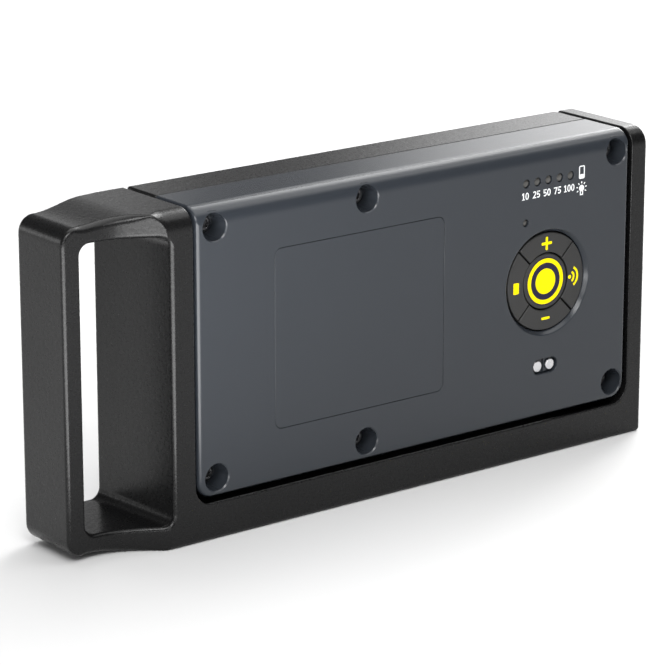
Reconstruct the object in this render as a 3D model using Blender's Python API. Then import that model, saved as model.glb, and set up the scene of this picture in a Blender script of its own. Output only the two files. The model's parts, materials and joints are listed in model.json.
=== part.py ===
"""Portable LED floodlight: a light head that tilts inside a U-shaped frame with a carrying grip.

Axes: X along the length (grip at -X), -Y the control side, +Y the side the light leaves, +Z up.
The origin is the middle of the base. Lengths below are millimetres; MM turns them into metres.
"""
import math

import bmesh
import bpy
from mathutils import Vector

MM = 0.001

# ---------------------------------------------------------------- driving sizes
LENGTH = 253.2
DEPTH = 42.0
HEIGHT = 118.0
LEFT, RIGHT = -LENGTH / 2, LENGTH / 2
REAR, FRONT = -DEPTH / 2, DEPTH / 2

# frame
RIGHT_ARM = 7.6
RAIL = 13.1
GRIP_RIGHT = 37.4           # from the left end to the grip opening's right wall, control side
GRIP_TAPER = 3.6            # the opening is this much narrower on the light side
GRIP_BAR = 7.2
GRIP_FLOOR = 8.5
GRIP_ROOF = 8.0
GRIP_CORNER = 4.0
LEFT_ARM = 8.8
TOP_ROUND = 7.0             # rear top edge of arms and head
EDGE_ROUND = 1.5
GRIP_EDGE_ROUND = 2.6
END_ROUND = 6.0             # top and bottom of the left end
NECK_START = 35.8           # where the grip starts to get thinner, from the left end
NECK_END = 12.2
NECK_LATE_START = 30.0      # the same on the light side, top and bottom, where it is a soft S
NECK_LATE_END = 9.0
NECK_REAR = 9.2
NECK_FRONT = 4.8
NECK_VERTICAL = 1.8

# head
SIDE_GAP = 1.4
RAIL_GAP = 2.4
HEAD_LEFT = LEFT + GRIP_RIGHT + LEFT_ARM + SIDE_GAP
HEAD_RIGHT = RIGHT - RIGHT_ARM - SIDE_GAP
HEAD_BOTTOM = RAIL + RAIL_GAP
HEAD_TOP = HEIGHT
HEAD_CORNER = 6.0
SHARP_CORNER = 1.2
COVER_DEPTH = 24.0
COVER_WALL = 2.4
COVER_EDGE = 1.8
HOUSING_WALL = 3.0
HOUSING_EDGE = 1.5
SEAT_GAP = 0.3              # between pieces that touch on the real lamp

# tilt pivot
PIVOT_Y = -1.5
PIVOT_Z = (HEAD_BOTTOM + HEAD_TOP) / 2
SWEEP_GAP = 0.7

# keypad
KEYPAD_X = 78.3
KEYPAD_Z = 66.5
KEYPAD_RIM = 20.0
KEYPAD_BORE = 18.8
KEY_OUTER = 18.35
KEY_INNER = 10.9
POWER_RADIUS = 10.4
KEYPAD_BEVEL = 1.6          # depth of the sloping rim
KEY_DEPTH = 1.0             # face of the ring keys below the cover
POWER_DEPTH = 1.3
KEY_SLOT = 0.6

# screws
SCREW_WELL = 4.8
SCREW_SEAT_DEPTH = 8.4
SCREW_INSET_LEFT = 7.6
SCREW_INSET_RIGHT = 6.5
SCREW_LOW_Z = 22.2
SCREW_HIGH_Z = 110.6
SCREW_MIDDLE_X = -6.0

COLOURS = {
    "black_plastic": ((0.013, 0.013, 0.014), 0.55, 0.0),
    "blue_grey_plastic": ((0.060, 0.072, 0.088), 0.34, 0.0),
    "charcoal_rubber": ((0.030, 0.030, 0.031), 0.6, 0.0),
    "seal_rubber": ((0.010, 0.010, 0.010), 0.8, 0.0),
    "clear_window": ((0.85, 0.88, 0.90), 0.05, 0.0),
    "smoked_lens": ((0.12, 0.12, 0.12), 0.15, 0.0),
    "white_reflector": ((0.85, 0.85, 0.84), 0.25, 0.0),
    "led_board_white": ((0.80, 0.80, 0.78), 0.5, 0.0),
    "aluminium": ((0.75, 0.76, 0.78), 0.35, 1.0),
    "steel": ((0.55, 0.55, 0.56), 0.3, 1.0),
    "brass": ((0.70, 0.52, 0.22), 0.35, 1.0),
    "bearing_bronze": ((0.55, 0.38, 0.18), 0.4, 1.0),
    "friction_plastic": ((0.20, 0.20, 0.20), 0.5, 0.0),
    "cell_sleeve": ((0.05, 0.20, 0.12), 0.4, 0.0),
    "circuit_green": ((0.02, 0.16, 0.07), 0.45, 0.0),
    "switch_body": ((0.05, 0.05, 0.05), 0.4, 0.0),
    "magnet_nickel": ((0.60, 0.59, 0.56), 0.25, 1.0),
}


# ---------------------------------------------------------------- small tools
def clear_scene():
    for item in list(bpy.data.objects):
        bpy.data.objects.remove(item, do_unlink=True)


def material(name):
    found = bpy.data.materials.get(name)
    if found:
        return found
    colour, roughness, metallic = COLOURS[name]
    made = bpy.data.materials.new(name)
    made.use_nodes = True
    shader = made.node_tree.nodes["Principled BSDF"]
    shader.inputs["Base Color"].default_value = (*colour, 1.0)
    shader.inputs["Roughness"].default_value = roughness
    shader.inputs["Metallic"].default_value = metallic
    return made


def object_from(bm, name, finish, parent=None):
    bmesh.ops.recalc_face_normals(bm, faces=bm.faces)
    mesh = bpy.data.meshes.new(name)
    bm.to_mesh(mesh)
    bm.free()
    mesh.shade_smooth()
    mesh.set_sharp_from_angle(angle=math.radians(32))
    made = bpy.data.objects.new(name, mesh)
    bpy.context.scene.collection.objects.link(made)
    if finish:
        mesh.materials.append(material(finish))
    if parent:
        made.parent = parent
        mesh.transform(parent.matrix_world.inverted())
    return made


def cut(target, tool, operation="DIFFERENCE"):
    step = target.modifiers.new(tool.name, "BOOLEAN")
    step.operation = operation
    step.solver = "EXACT"
    step.object = tool
    tool.hide_render = True
    tool.display_type = "WIRE"


def add_loft(bm, loops):
    """Skin over closed loops of equal length, with a flat cap on each end."""
    rows = [[bm.verts.new(Vector(point) * MM) for point in loop] for loop in loops]
    count = len(rows[0])
    for lower, upper in zip(rows, rows[1:]):
        for i in range(count):
            j = (i + 1) % count
            bm.faces.new((lower[i], lower[j], upper[j], upper[i]))
    bm.faces.new(rows[0])
    bm.faces.new(rows[-1])


def loft(name, loops, finish=None, parent=None):
    bm = bmesh.new()
    add_loft(bm, loops)
    return object_from(bm, name, finish, parent)


def arc(centre_u, centre_v, radius, start, end, steps):
    points = []
    for i in range(steps + 1):
        angle = math.radians(start + (end - start) * i / steps)
        points.append((centre_u + radius * math.cos(angle), centre_v + radius * math.sin(angle)))
    return points


def rounded(low_u, low_v, high_u, high_v, radii, steps=5):
    """Rounded rectangle, anticlockwise from its lower right corner: radii are given in that order."""
    lower_right, upper_right, upper_left, lower_left = radii
    points = arc(high_u - lower_right, low_v + lower_right, lower_right, -90, 0, steps)
    points += arc(high_u - upper_right, high_v - upper_right, upper_right, 0, 90, steps)
    points += arc(low_u + upper_left, high_v - upper_left, upper_left, 90, 180, steps)
    points += arc(low_u + lower_left, low_v + lower_left, lower_left, 180, 270, steps)
    return points


def along_x(points, x):
    return [(x, u, v) for u, v in points]


def along_y(points, y):
    return [(u, y, v) for u, v in points]


def along_z(points, z):
    return [(u, v, z) for u, v in points]


def plate(name, outline, y_rear, y_front, finish=None, parent=None):
    return loft(name, [along_y(outline, y_rear), along_y(outline, y_front)], finish, parent)


def box(name, low, high, finish=None, parent=None):
    outline = [(low[0], low[2]), (high[0], low[2]), (high[0], high[2]), (low[0], high[2])]
    return plate(name, outline, low[1], high[1], finish, parent)


def circle(centre_u, centre_v, radius, sides):
    return arc(centre_u, centre_v, radius, 0, 360 - 360 / sides, sides - 1)


def add_turned(bm, profile, centre_u, centre_v, place, sides):
    """Closed solid of circles: profile is (position, radius) along the axis that place sets."""
    add_loft(bm, [place(circle(centre_u, centre_v, radius, sides), at) for at, radius in profile])


def turned(name, profile, centre, place, finish=None, parent=None, sides=24):
    bm = bmesh.new()
    add_turned(bm, profile, centre[0], centre[1], place, sides)
    return object_from(bm, name, finish, parent)


def tube(name, low, high, inner, outer, centre, place, finish, parent=None, sides=24):
    """Ring or bush: four circles joined into one closed band."""
    bm = bmesh.new()
    rows = []
    for at, radius in ((low, outer), (high, outer), (high, inner), (low, inner)):
        loop = place(circle(centre[0], centre[1], radius, sides), at)
        rows.append([bm.verts.new(Vector(point) * MM) for point in loop])
    for row, following in zip(rows, rows[1:] + rows[:1]):
        for i in range(sides):
            j = (i + 1) % sides
            bm.faces.new((row[i], row[j], following[j], following[i]))
    return object_from(bm, name, finish, parent)


def ease_out(share):
    return math.sin(math.pi / 2 * min(max(share, 0.0), 1.0))


def ease_both(share):
    share = min(max(share, 0.0), 1.0)
    return share * share * (3 - 2 * share)


def round_inset(radius, depth):
    """How far a rounded edge of this radius has drawn in at a depth below the end face."""
    short = min(max(radius - depth, 0.0), radius)
    return radius - math.sqrt(radius ** 2 - short ** 2)


# ---------------------------------------------------------------- frame
def frame_section(x):
    """Rounded rectangle in Y and Z: full size over the rail and arms, thinner along the grip."""
    from_left = x - LEFT
    share = (NECK_START - from_left) / (NECK_START - NECK_END)
    neck = ease_out(share)
    late_neck = ease_both((NECK_LATE_START - from_left) / (NECK_LATE_START - NECK_LATE_END))
    blend = min(max(share * 2.6, 0.0), 1.0)
    side = round_inset(EDGE_ROUND, min(from_left, RIGHT - x))
    lid = round_inset(END_ROUND, from_left) + round_inset(EDGE_ROUND, RIGHT - x)
    rear = REAR + NECK_REAR * neck + side
    front = FRONT - NECK_FRONT * late_neck - side
    low = NECK_VERTICAL * late_neck + lid
    high = HEIGHT - NECK_VERTICAL * late_neck - lid
    small = EDGE_ROUND + (GRIP_EDGE_ROUND - EDGE_ROUND) * blend
    top = TOP_ROUND + (GRIP_EDGE_ROUND - TOP_ROUND) * blend
    outline = rounded(rear, low, front, high, (small, small, top, small))
    return along_x(outline, x)


def frame_stations():
    """Places along X where the frame's section changes."""
    ends = [END_ROUND * (1 - math.cos(math.radians(angle))) for angle in range(0, 91, 15)]
    neck_steps = 10
    neck = [NECK_LATE_END + (NECK_START - NECK_LATE_END) * i / neck_steps for i in range(neck_steps + 1)]
    right = [EDGE_ROUND * (1 - math.cos(math.radians(angle))) for angle in (90, 60, 30, 0)]
    return [LEFT + step for step in ends + neck] + [RIGHT - step for step in right]


def head_space():
    """The room cut for the head: open at the top, with round lower corners."""
    left, right = HEAD_LEFT - SIDE_GAP, HEAD_RIGHT + SIDE_GAP
    corner = HEAD_CORNER + SIDE_GAP
    above = HEIGHT + 20
    outline = rounded(left, RAIL, right, above, (corner, SHARP_CORNER, SHARP_CORNER, corner))
    return plate("head_space", outline, REAR - 10, FRONT + 10)


def head_sweep():
    """The body of revolution that the head's lower corners turn through, with a working gap."""
    reach = max(PIVOT_Y - REAR, FRONT - PIVOT_Y)
    half = PIVOT_Z - HEAD_BOTTOM
    profile = []
    steps = 6
    for i in range(steps + 1):
        angle = math.radians(90 * i / steps)
        along = HEAD_CORNER * (1 - math.cos(angle))
        height = half - HEAD_CORNER * (1 - math.sin(angle))
        profile.append((along, math.hypot(reach, height) + SWEEP_GAP))
    left = [(HEAD_LEFT - SWEEP_GAP + along, radius) for along, radius in profile]
    right = [(HEAD_RIGHT + SWEEP_GAP - along, radius) for along, radius in reversed(profile)]
    return turned("head_sweep", left + right, (PIVOT_Y, PIVOT_Z), along_x, sides=96)


def grip_outline(y):
    """The opening's right wall leans towards the grip bar on the way to the light side."""
    right = LEFT + GRIP_RIGHT - GRIP_TAPER * (y - REAR) / DEPTH
    radii = (GRIP_CORNER,) * 4
    return along_y(rounded(LEFT + GRIP_BAR, GRIP_FLOOR, right, HEIGHT - GRIP_ROOF, radii), y)


def make_frame():
    frame = loft("frame", [frame_section(x) for x in frame_stations()], "black_plastic")
    cut(frame, head_space())
    cut(frame, head_sweep())
    cut(frame, loft("grip_opening", [grip_outline(y) for y in (REAR - 10, FRONT + 10)]))
    pockets = bmesh.new()
    for face, depth in ((HEAD_LEFT - SIDE_GAP, -INSERT_POCKET), (HEAD_RIGHT + SIDE_GAP, INSERT_POCKET)):
        ends = sorted((face - math.copysign(1, depth), face + depth))
        profile = [(ends[0], INSERT_RADIUS + SEAT_GAP), (ends[1], INSERT_RADIUS + SEAT_GAP)]
        add_turned(pockets, profile, PIVOT_Y, PIVOT_Z, along_x, 32)
    profile = [(-1, TRIPOD_RADIUS + SEAT_GAP), (TRIPOD_LENGTH + SEAT_GAP, TRIPOD_RADIUS + SEAT_GAP)]
    add_turned(pockets, profile, TRIPOD_X, 0, along_z, 32)
    cut(frame, object_from(pockets, "insert_pockets", None))


# ---------------------------------------------------------------- pivots and inserts
INSERT_RADIUS = 3.2
INSERT_LENGTH = 4.6
INSERT_POCKET = 5.0
BOLT_THREAD = 1.9
BOLT_SHOULDER = 2.5
BOLT_HEAD = 4.4
BUSH_BORE = 2.6
BUSH_OUTER = 3.3
BOSS_RADIUS = 4.4
BOSS_LENGTH = 3.4
WASHER_OUTER = 8.0
WASHER_THICK = 0.8
TRIPOD_X = 0.0
TRIPOD_RADIUS = 5.0
TRIPOD_THREAD = 3.175
TRIPOD_LENGTH = 7.0


def pivot_side(name, arm_face, inward):
    """One pivot: insert in the arm, washer in the gap, bush in the head and a shoulder bolt.

    inward is +1 on the left arm and -1 on the right one, so every place is arm_face + inward * step.
    """
    centre = (PIVOT_Y, PIVOT_Z)

    def span(start, end):
        return sorted((arm_face + inward * start, arm_face + inward * end))

    low, high = span(-INSERT_LENGTH - SEAT_GAP / 2, -SEAT_GAP)
    tube("arm_insert_" + name, low, high, BOLT_THREAD + SEAT_GAP, INSERT_RADIUS, centre, along_x, "brass")
    low, high = span(SEAT_GAP, SEAT_GAP + WASHER_THICK)
    tube("friction_washer_" + name, low, high, BOLT_SHOULDER + SEAT_GAP, WASHER_OUTER, centre,
         along_x, "friction_plastic")
    bush_end = SIDE_GAP + COVER_WALL + BOSS_LENGTH
    low, high = span(SIDE_GAP, bush_end)
    tube("pivot_bush_" + name, low, high, BUSH_BORE, BUSH_OUTER, centre, along_x, "bearing_bronze")
    low, high = span(bush_end + SEAT_GAP, bush_end + SEAT_GAP + 0.5)
    tube("spring_washer_" + name, low, high, BOLT_SHOULDER + SEAT_GAP, BOSS_RADIUS, centre, along_x, "steel")
    head_start = bush_end + 2 * SEAT_GAP + 0.5
    steps = [(-INSERT_LENGTH + 0.4, BOLT_THREAD), (0.0, BOLT_THREAD), (0.0, BOLT_SHOULDER),
             (head_start, BOLT_SHOULDER), (head_start, BOLT_HEAD), (head_start + 2.5, BOLT_HEAD)]
    profile = [(arm_face + inward * at, radius) for at, radius in steps]
    turned("pivot_bolt_" + name, profile, centre, along_x, "steel")


def make_pivots():
    pivot_side("left", HEAD_LEFT - SIDE_GAP, 1)
    pivot_side("right", HEAD_RIGHT + SIDE_GAP, -1)
    tube("tripod_insert", 0.0, TRIPOD_LENGTH, TRIPOD_THREAD, TRIPOD_RADIUS, (TRIPOD_X, 0), along_z, "brass")


# ---------------------------------------------------------------- head shells
def head_outline(sides, top, bottom, corner):
    low_x, high_x = HEAD_LEFT + sides, HEAD_RIGHT - sides
    sharp = max(SHARP_CORNER - sides, 0.2)
    radii = (corner, sharp, sharp, corner)
    return rounded(low_x, HEAD_BOTTOM + bottom, high_x, HEAD_TOP - top, radii)


def cover_layer(y, wall):
    """Outline of the rear cover at one depth, drawn in by the wall for its inside."""
    depth = y - REAR - wall
    side = round_inset(max(COVER_EDGE - wall / 2, 0.4), depth) + wall
    top = round_inset(TOP_ROUND - wall, depth) + wall
    return along_y(head_outline(side, top, side, HEAD_CORNER - wall * 0.8), y)


def screw_places():
    columns = (HEAD_LEFT + SCREW_INSET_LEFT, SCREW_MIDDLE_X, HEAD_RIGHT - SCREW_INSET_RIGHT)
    return [(x, z) for z in (SCREW_LOW_Z, SCREW_HIGH_Z) for x in columns]


def make_rear_cover():
    rim = REAR + COVER_DEPTH
    outer_depths = [TOP_ROUND * (1 - math.cos(math.radians(angle))) for angle in range(0, 91, 15)]
    inner_round = TOP_ROUND - COVER_WALL
    inner_depths = [inner_round * (1 - math.cos(math.radians(angle))) for angle in range(0, 91, 30)]
    loops = [cover_layer(REAR + depth, 0.0) for depth in outer_depths] + [cover_layer(rim, 0.0)]
    loops.append(cover_layer(rim, COVER_WALL))
    loops += [cover_layer(REAR + COVER_WALL + depth, COVER_WALL) for depth in reversed(inner_depths)]
    cover = loft("rear_cover", loops, "blue_grey_plastic")

    bosses = bmesh.new()
    inside = REAR + COVER_WALL / 2
    boss_end = REAR + SCREW_SEAT_DEPTH + SCREW_FLOOR
    for x, z in screw_places():
        reach = SCREW_WELL + 1.3
        add_turned(bosses, [(inside, reach), (boss_end, reach)], x, z, along_y, 20)
    for face, inward in ((HEAD_LEFT, 1), (HEAD_RIGHT, -1)):
        ends = (face + inward * COVER_WALL / 2, face + inward * (COVER_WALL + BOSS_LENGTH))
        add_turned(bosses, [(end, BOSS_RADIUS) for end in ends], PIVOT_Y, PIVOT_Z, along_x, 24)
    cut(cover, object_from(bosses, "cover_bosses", None), "UNION")

    holes = bmesh.new()
    for x, z in screw_places():
        seat = REAR + SCREW_SEAT_DEPTH
        profile = [(REAR - 5, SCREW_WELL), (seat, SCREW_WELL - 0.3), (seat, SCREW_SHANK + SEAT_GAP),
                   (boss_end + 1, SCREW_SHANK + SEAT_GAP)]
        add_turned(holes, profile, x, z, along_y, 20)
    for face, inward in ((HEAD_LEFT, 1), (HEAD_RIGHT, -1)):
        ends = (face - inward, face + inward * (COVER_WALL + BOSS_LENGTH + 1))
        add_turned(holes, [(end, BUSH_OUTER + SEAT_GAP) for end in ends], PIVOT_Y, PIVOT_Z, along_x, 24)
    slope = (KEYPAD_RIM - KEYPAD_BORE) / KEYPAD_BEVEL
    profile = [(REAR - 1, KEYPAD_RIM + slope), (REAR + KEYPAD_BEVEL, KEYPAD_BORE),
               (REAR + COVER_WALL + 1, KEYPAD_BORE)]
    add_turned(holes, profile, KEYPAD_X, KEYPAD_Z, along_y, 56)
    for x in indicator_places():
        add_turned(holes, [(REAR - 1, INDICATOR_HOLE), (REAR + COVER_WALL + 1, INDICATOR_HOLE)],
                   x, INDICATOR_Z, along_y, 14)
    add_turned(holes, [(REAR - 1, STATUS_HOLE), (REAR + COVER_WALL + 1, STATUS_HOLE)],
               STATUS_X, STATUS_Z, along_y, 16)
    contact = contact_outline(0.0)
    add_loft(holes, [along_y(contact, REAR - 1), along_y(contact, REAR + COVER_WALL + 1)])
    label = label_outline(0.0)
    add_loft(holes, [along_y(label, REAR - 1), along_y(label, REAR + LABEL_POCKET)])
    cut(cover, object_from(holes, "cover_openings", None))


def housing_layer(y, wall):
    depth = FRONT - y
    side = round_inset(HOUSING_EDGE, depth) + wall
    return along_y(head_outline(side, side, side, HEAD_CORNER - wall * 0.8), y)


def make_front_housing():
    rim = REAR + COVER_DEPTH + SEAT_GAP
    edge = [HOUSING_EDGE * (1 - math.cos(math.radians(angle))) for angle in (0, 30, 60, 90)]
    loops = [housing_layer(FRONT - depth, 0.0) for depth in edge] + [housing_layer(rim, 0.0)]
    loops += [housing_layer(rim, HOUSING_WALL), housing_layer(FRONT_WALL_Y, HOUSING_WALL)]
    housing = loft("front_housing", loops, "black_plastic")

    posts = bmesh.new()
    post_end = REAR + SCREW_SEAT_DEPTH + SCREW_FLOOR + SEAT_GAP
    for x, z in screw_places():
        add_turned(posts, [(post_end, POST_RADIUS), (FRONT_WALL_Y + 1, POST_RADIUS)], x, z, along_y, 12)
    cut(housing, object_from(posts, "housing_posts", None), "UNION")

    openings = bmesh.new()
    for x, z in screw_places():
        profile = [(post_end - 1, SCREW_SHANK + SEAT_GAP), (SCREW_TIP + 1, SCREW_SHANK + SEAT_GAP)]
        add_turned(openings, profile, x, z, along_y, 12)
    aperture = window_outline(WINDOW_LIP)
    add_loft(openings, [along_y(aperture, FRONT_WALL_Y - 1), along_y(aperture, FRONT + 1)])
    cut(housing, object_from(openings, "housing_openings", None))
    rebate = window_outline(0.0)
    cut(housing, plate("window_rebate", rebate, FRONT - WINDOW_THICK - SEAL_THICK - 2 * SEAT_GAP, FRONT + 1))

    grooves = []
    for inset in (SEAL_INSET, SEAL_INSET + SEAL_WIDTH):
        grooves.append(head_outline(inset, inset, inset, HEAD_CORNER - inset))
    groove = ring_plate("seal_groove", grooves[0], grooves[1], rim - 1, rim + SEAL_DEPTH)
    cut(housing, groove)
    inner = SEAL_INSET + SEAL_WIDTH - SEAL_SLACK
    outer = SEAL_INSET + SEAL_SLACK
    loops = [head_outline(inset, inset, inset, HEAD_CORNER - inset) for inset in (outer, inner)]
    ring_plate("housing_seal", loops[0], loops[1], rim, rim + SEAL_DEPTH - SEAT_GAP, "seal_rubber")


def ring_plate(name, outer, inner, y_rear, y_front, finish=None):
    """Flat frame between two outlines with the same number of points."""
    bm = bmesh.new()
    rows = []
    for outline, y in ((outer, y_rear), (outer, y_front), (inner, y_front), (inner, y_rear)):
        rows.append([bm.verts.new(Vector(point) * MM) for point in along_y(outline, y)])
    for row, following in zip(rows, rows[1:] + rows[:1]):
        for i in range(len(row)):
            j = (i + 1) % len(row)
            bm.faces.new((row[i], row[j], following[j], following[i]))
    return object_from(bm, name, finish)


# ---------------------------------------------------------------- light side
FRONT_WALL_Y = FRONT - 4.6
WINDOW_MARGIN = 9.0
WINDOW_LIP = 3.6
WINDOW_CORNER = 5.0
WINDOW_THICK = 1.8
SEAL_THICK = 0.8
SEAL_INSET = 0.9
SEAL_WIDTH = 1.3
SEAL_DEPTH = 1.5
SEAL_SLACK = 0.25
POST_RADIUS = 3.4
CUP_COLUMNS = 8
CUP_ROWS = 4
CUP_THROAT = 4.2
BOARD_THICK = 1.4
CHIP_SIDE = 3.2
CHIP_HEIGHT = 0.5
REFLECTOR_REAR = 10.2
HEAT_SINK_REAR = 2.9
HEAT_SINK_BASE = 2.0
FIN_COUNT = 17
FIN_THICK = 1.6


def window_outline(inset):
    low_x, high_x = HEAD_LEFT + WINDOW_MARGIN, HEAD_RIGHT - WINDOW_MARGIN
    low_z, high_z = HEAD_BOTTOM + WINDOW_MARGIN, HEAD_TOP - WINDOW_MARGIN
    radii = (WINDOW_CORNER - inset / 2,) * 4
    return rounded(low_x + inset, low_z + inset, high_x - inset, high_z - inset, radii)


def cup_centres():
    low_x, high_x = HEAD_LEFT + WINDOW_MARGIN + WINDOW_LIP, HEAD_RIGHT - WINDOW_MARGIN - WINDOW_LIP
    low_z, high_z = HEAD_BOTTOM + WINDOW_MARGIN + WINDOW_LIP, HEAD_TOP - WINDOW_MARGIN - WINDOW_LIP
    pitch_x, pitch_z = (high_x - low_x) / CUP_COLUMNS, (high_z - low_z) / CUP_ROWS
    places = []
    for column in range(CUP_COLUMNS):
        for row in range(CUP_ROWS):
            places.append((low_x + pitch_x * (column + 0.5), low_z + pitch_z * (row + 0.5)))
    return places, pitch_x, pitch_z


def square(x, z, half_x, half_z):
    low_x, high_x = x - half_x, x + half_x
    low_z, high_z = z - half_z, z + half_z
    return [(low_x, low_z), (high_x, low_z), (high_x, high_z), (low_x, high_z)]


def make_light_side():
    lens_rear = FRONT - WINDOW_THICK - 0.2
    plate("front_lens", window_outline(SEAT_GAP), lens_rear, FRONT - 0.2, "clear_window")
    ring_plate("lens_seal", window_outline(SEAT_GAP), window_outline(WINDOW_LIP - 0.6),
               lens_rear - SEAT_GAP / 2 - SEAL_THICK, lens_rear - SEAT_GAP / 2, "seal_rubber")

    centres, pitch_x, pitch_z = cup_centres()
    body = window_outline(WINDOW_LIP + SEAT_GAP)
    reflector = plate("reflector", body, REFLECTOR_REAR, FRONT_WALL_Y + 0.6, "white_reflector")
    cups = bmesh.new()
    web = 0.6
    for x, z in centres:
        throat = square(x, z, CUP_THROAT / 2, CUP_THROAT / 2)
        mouth = square(x, z, pitch_x / 2 - web, pitch_z / 2 - web)
        add_loft(cups, [along_y(throat, REFLECTOR_REAR - 1), along_y(throat, REFLECTOR_REAR + 0.6),
                        along_y(mouth, FRONT_WALL_Y + 1.6)])
    cut(reflector, object_from(cups, "reflector_cups", None))

    board_front = REFLECTOR_REAR - SEAT_GAP
    board_rear = board_front - BOARD_THICK
    board = plate("led_board", body, board_rear, board_front, "led_board_white")
    chips = bmesh.new()
    for x, z in centres:
        chip = square(x, z, CHIP_SIDE / 2, CHIP_SIDE / 2)
        add_loft(chips, [along_y(chip, board_front - 0.3), along_y(chip, board_front + CHIP_HEIGHT)])
    cut(board, object_from(chips, "led_chips", None), "UNION")
    make_heat_sink(board_rear - SEAT_GAP)


def make_heat_sink(base_front):
    """Aluminium plate with upright fins towards the cells, drawn as a comb and raised along Z."""
    low_x, high_x = HEAD_LEFT + WINDOW_MARGIN + WINDOW_LIP + 1, HEAD_RIGHT - WINDOW_MARGIN - WINDOW_LIP - 1
    low_z, high_z = HEAD_BOTTOM + WINDOW_MARGIN + WINDOW_LIP + 1, HEAD_TOP - WINDOW_MARGIN - WINDOW_LIP - 1
    root = base_front - HEAT_SINK_BASE
    pitch = (high_x - low_x - FIN_THICK) / (FIN_COUNT - 1)
    comb = [(high_x, base_front), (low_x, base_front)]
    for i in range(FIN_COUNT):
        start = low_x + pitch * i
        if i:
            comb.append((start, root))
        comb += [(start, HEAT_SINK_REAR), (start + FIN_THICK, HEAT_SINK_REAR)]
        if i < FIN_COUNT - 1:
            comb.append((start + FIN_THICK, root))
    loft("heat_sink", [along_z(comb, low_z), along_z(comb, high_z)], "aluminium")


# ---------------------------------------------------------------- fasteners of the head
SCREW_SHANK = 1.5
SCREW_HEAD = 3.0
SCREW_HEAD_HEIGHT = 2.0
SCREW_FLOOR = 2.0
SCREW_TIP = 2.0
SCREW_SOCKET = 1.3


def make_cover_screws():
    for number, (x, z) in enumerate(screw_places(), start=1):
        under_head = REAR + SCREW_SEAT_DEPTH - SEAT_GAP
        top = under_head - SCREW_HEAD_HEIGHT
        profile = [(top, SCREW_HEAD * 0.72), (top + 0.55, SCREW_HEAD * 0.94), (top + 1.1, SCREW_HEAD),
                   (under_head, SCREW_HEAD), (under_head, SCREW_SHANK), (SCREW_TIP, SCREW_SHANK)]
        screw = turned(f"cover_screw_{number}", profile, (x, z), along_y, "steel", sides=16)
        socket = turned(f"screw_socket_{number}", [(top - 1, SCREW_SOCKET), (top + 1.2, SCREW_SOCKET)],
                        (x, z), along_y, sides=6)
        cut(screw, socket)


# ---------------------------------------------------------------- controls
INDICATOR_X = 67.4
INDICATOR_PITCH = 5.35
INDICATOR_COUNT = 5
INDICATOR_Z = 104.9
INDICATOR_HOLE = 1.6
STATUS_X = 67.3
STATUS_Z = 90.3
STATUS_HOLE = 1.4
CONTACT_X = 77.8
CONTACT_Z = 34.6
CONTACT_WIDTH = 11.8
CONTACT_HEIGHT = 5.8
CONTACT_SPREAD = 3.0
CONTACT_RADIUS = 2.05
CONTACT_DEPTH = 1.2
LABEL_LOW = (-46.5, 34.4)
LABEL_HIGH = (29.0, 99.1)
LABEL_CORNER = 3.0
LABEL_POCKET = 1.1
LABEL_THICK = 0.8
KEY_THICK = 3.0
MEMBRANE_REAR = -15.9
MEMBRANE_THICK = 0.8
MEMBRANE_RADIUS = 22.0
SWITCH_REAR = -14.8
SWITCH_THICK = 1.5
CONTROL_BOARD_REAR = -13.0
CONTROL_BOARD_LOW = (54.0, 26.0)
CONTROL_BOARD_HIGH = (103.0, 108.0)


def indicator_places():
    return [INDICATOR_X + INDICATOR_PITCH * i for i in range(INDICATOR_COUNT)]


def contact_outline(slack):
    half_x, half_z = CONTACT_WIDTH / 2 - slack, CONTACT_HEIGHT / 2 - slack
    radii = (half_z,) * 4
    return rounded(CONTACT_X - half_x, CONTACT_Z - half_z, CONTACT_X + half_x, CONTACT_Z + half_z, radii, 8)


def label_outline(slack):
    radii = (LABEL_CORNER,) * 4
    low_x, low_z = LABEL_LOW
    high_x, high_z = LABEL_HIGH
    return rounded(low_x + slack, low_z + slack, high_x - slack, high_z - slack, radii)


def key_outline(middle_angle):
    """Quarter of the ring of keys: two arcs joined by sides parallel to the diagonals."""
    outer_half = 45 - math.degrees(math.asin(KEY_SLOT / 2 / KEY_OUTER))
    inner_half = 45 - math.degrees(math.asin(KEY_SLOT / 2 / KEY_INNER))
    outer = arc(KEYPAD_X, KEYPAD_Z, KEY_OUTER, middle_angle - outer_half, middle_angle + outer_half, 16)
    inner = arc(KEYPAD_X, KEYPAD_Z, KEY_INNER, middle_angle + inner_half, middle_angle - inner_half, 12)
    return outer + inner


def make_keys():
    """Each key's parent empty stands on its own press axis."""
    back = REAR + KEY_DEPTH + KEY_THICK
    reach = (KEY_OUTER + KEY_INNER) / 2
    ring = (("wireless_button", 0), ("plus_button", 90), ("battery_button", 180), ("minus_button", 270))
    for name, angle in ring:
        turn = math.radians(angle)
        seat = (KEYPAD_X + reach * math.cos(turn), KEYPAD_Z + reach * math.sin(turn))
        empty = press_axis(name + "_axis", seat)
        plate(name, key_outline(angle), REAR + KEY_DEPTH, back, "charcoal_rubber", empty)
    empty = press_axis("power_button_axis", (KEYPAD_X, KEYPAD_Z))
    profile = [(REAR + POWER_DEPTH, POWER_RADIUS - 0.3), (REAR + POWER_DEPTH + 0.3, POWER_RADIUS),
               (back, POWER_RADIUS)]
    turned("power_button", profile, (KEYPAD_X, KEYPAD_Z), along_y, "charcoal_rubber", empty, sides=48)


def press_axis(name, seat):
    empty = bpy.data.objects.new(name, None)
    empty.location = (seat[0] * MM, (REAR + KEY_DEPTH) * MM, seat[1] * MM)
    bpy.context.scene.collection.objects.link(empty)
    bpy.context.view_layer.update()
    return empty


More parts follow.
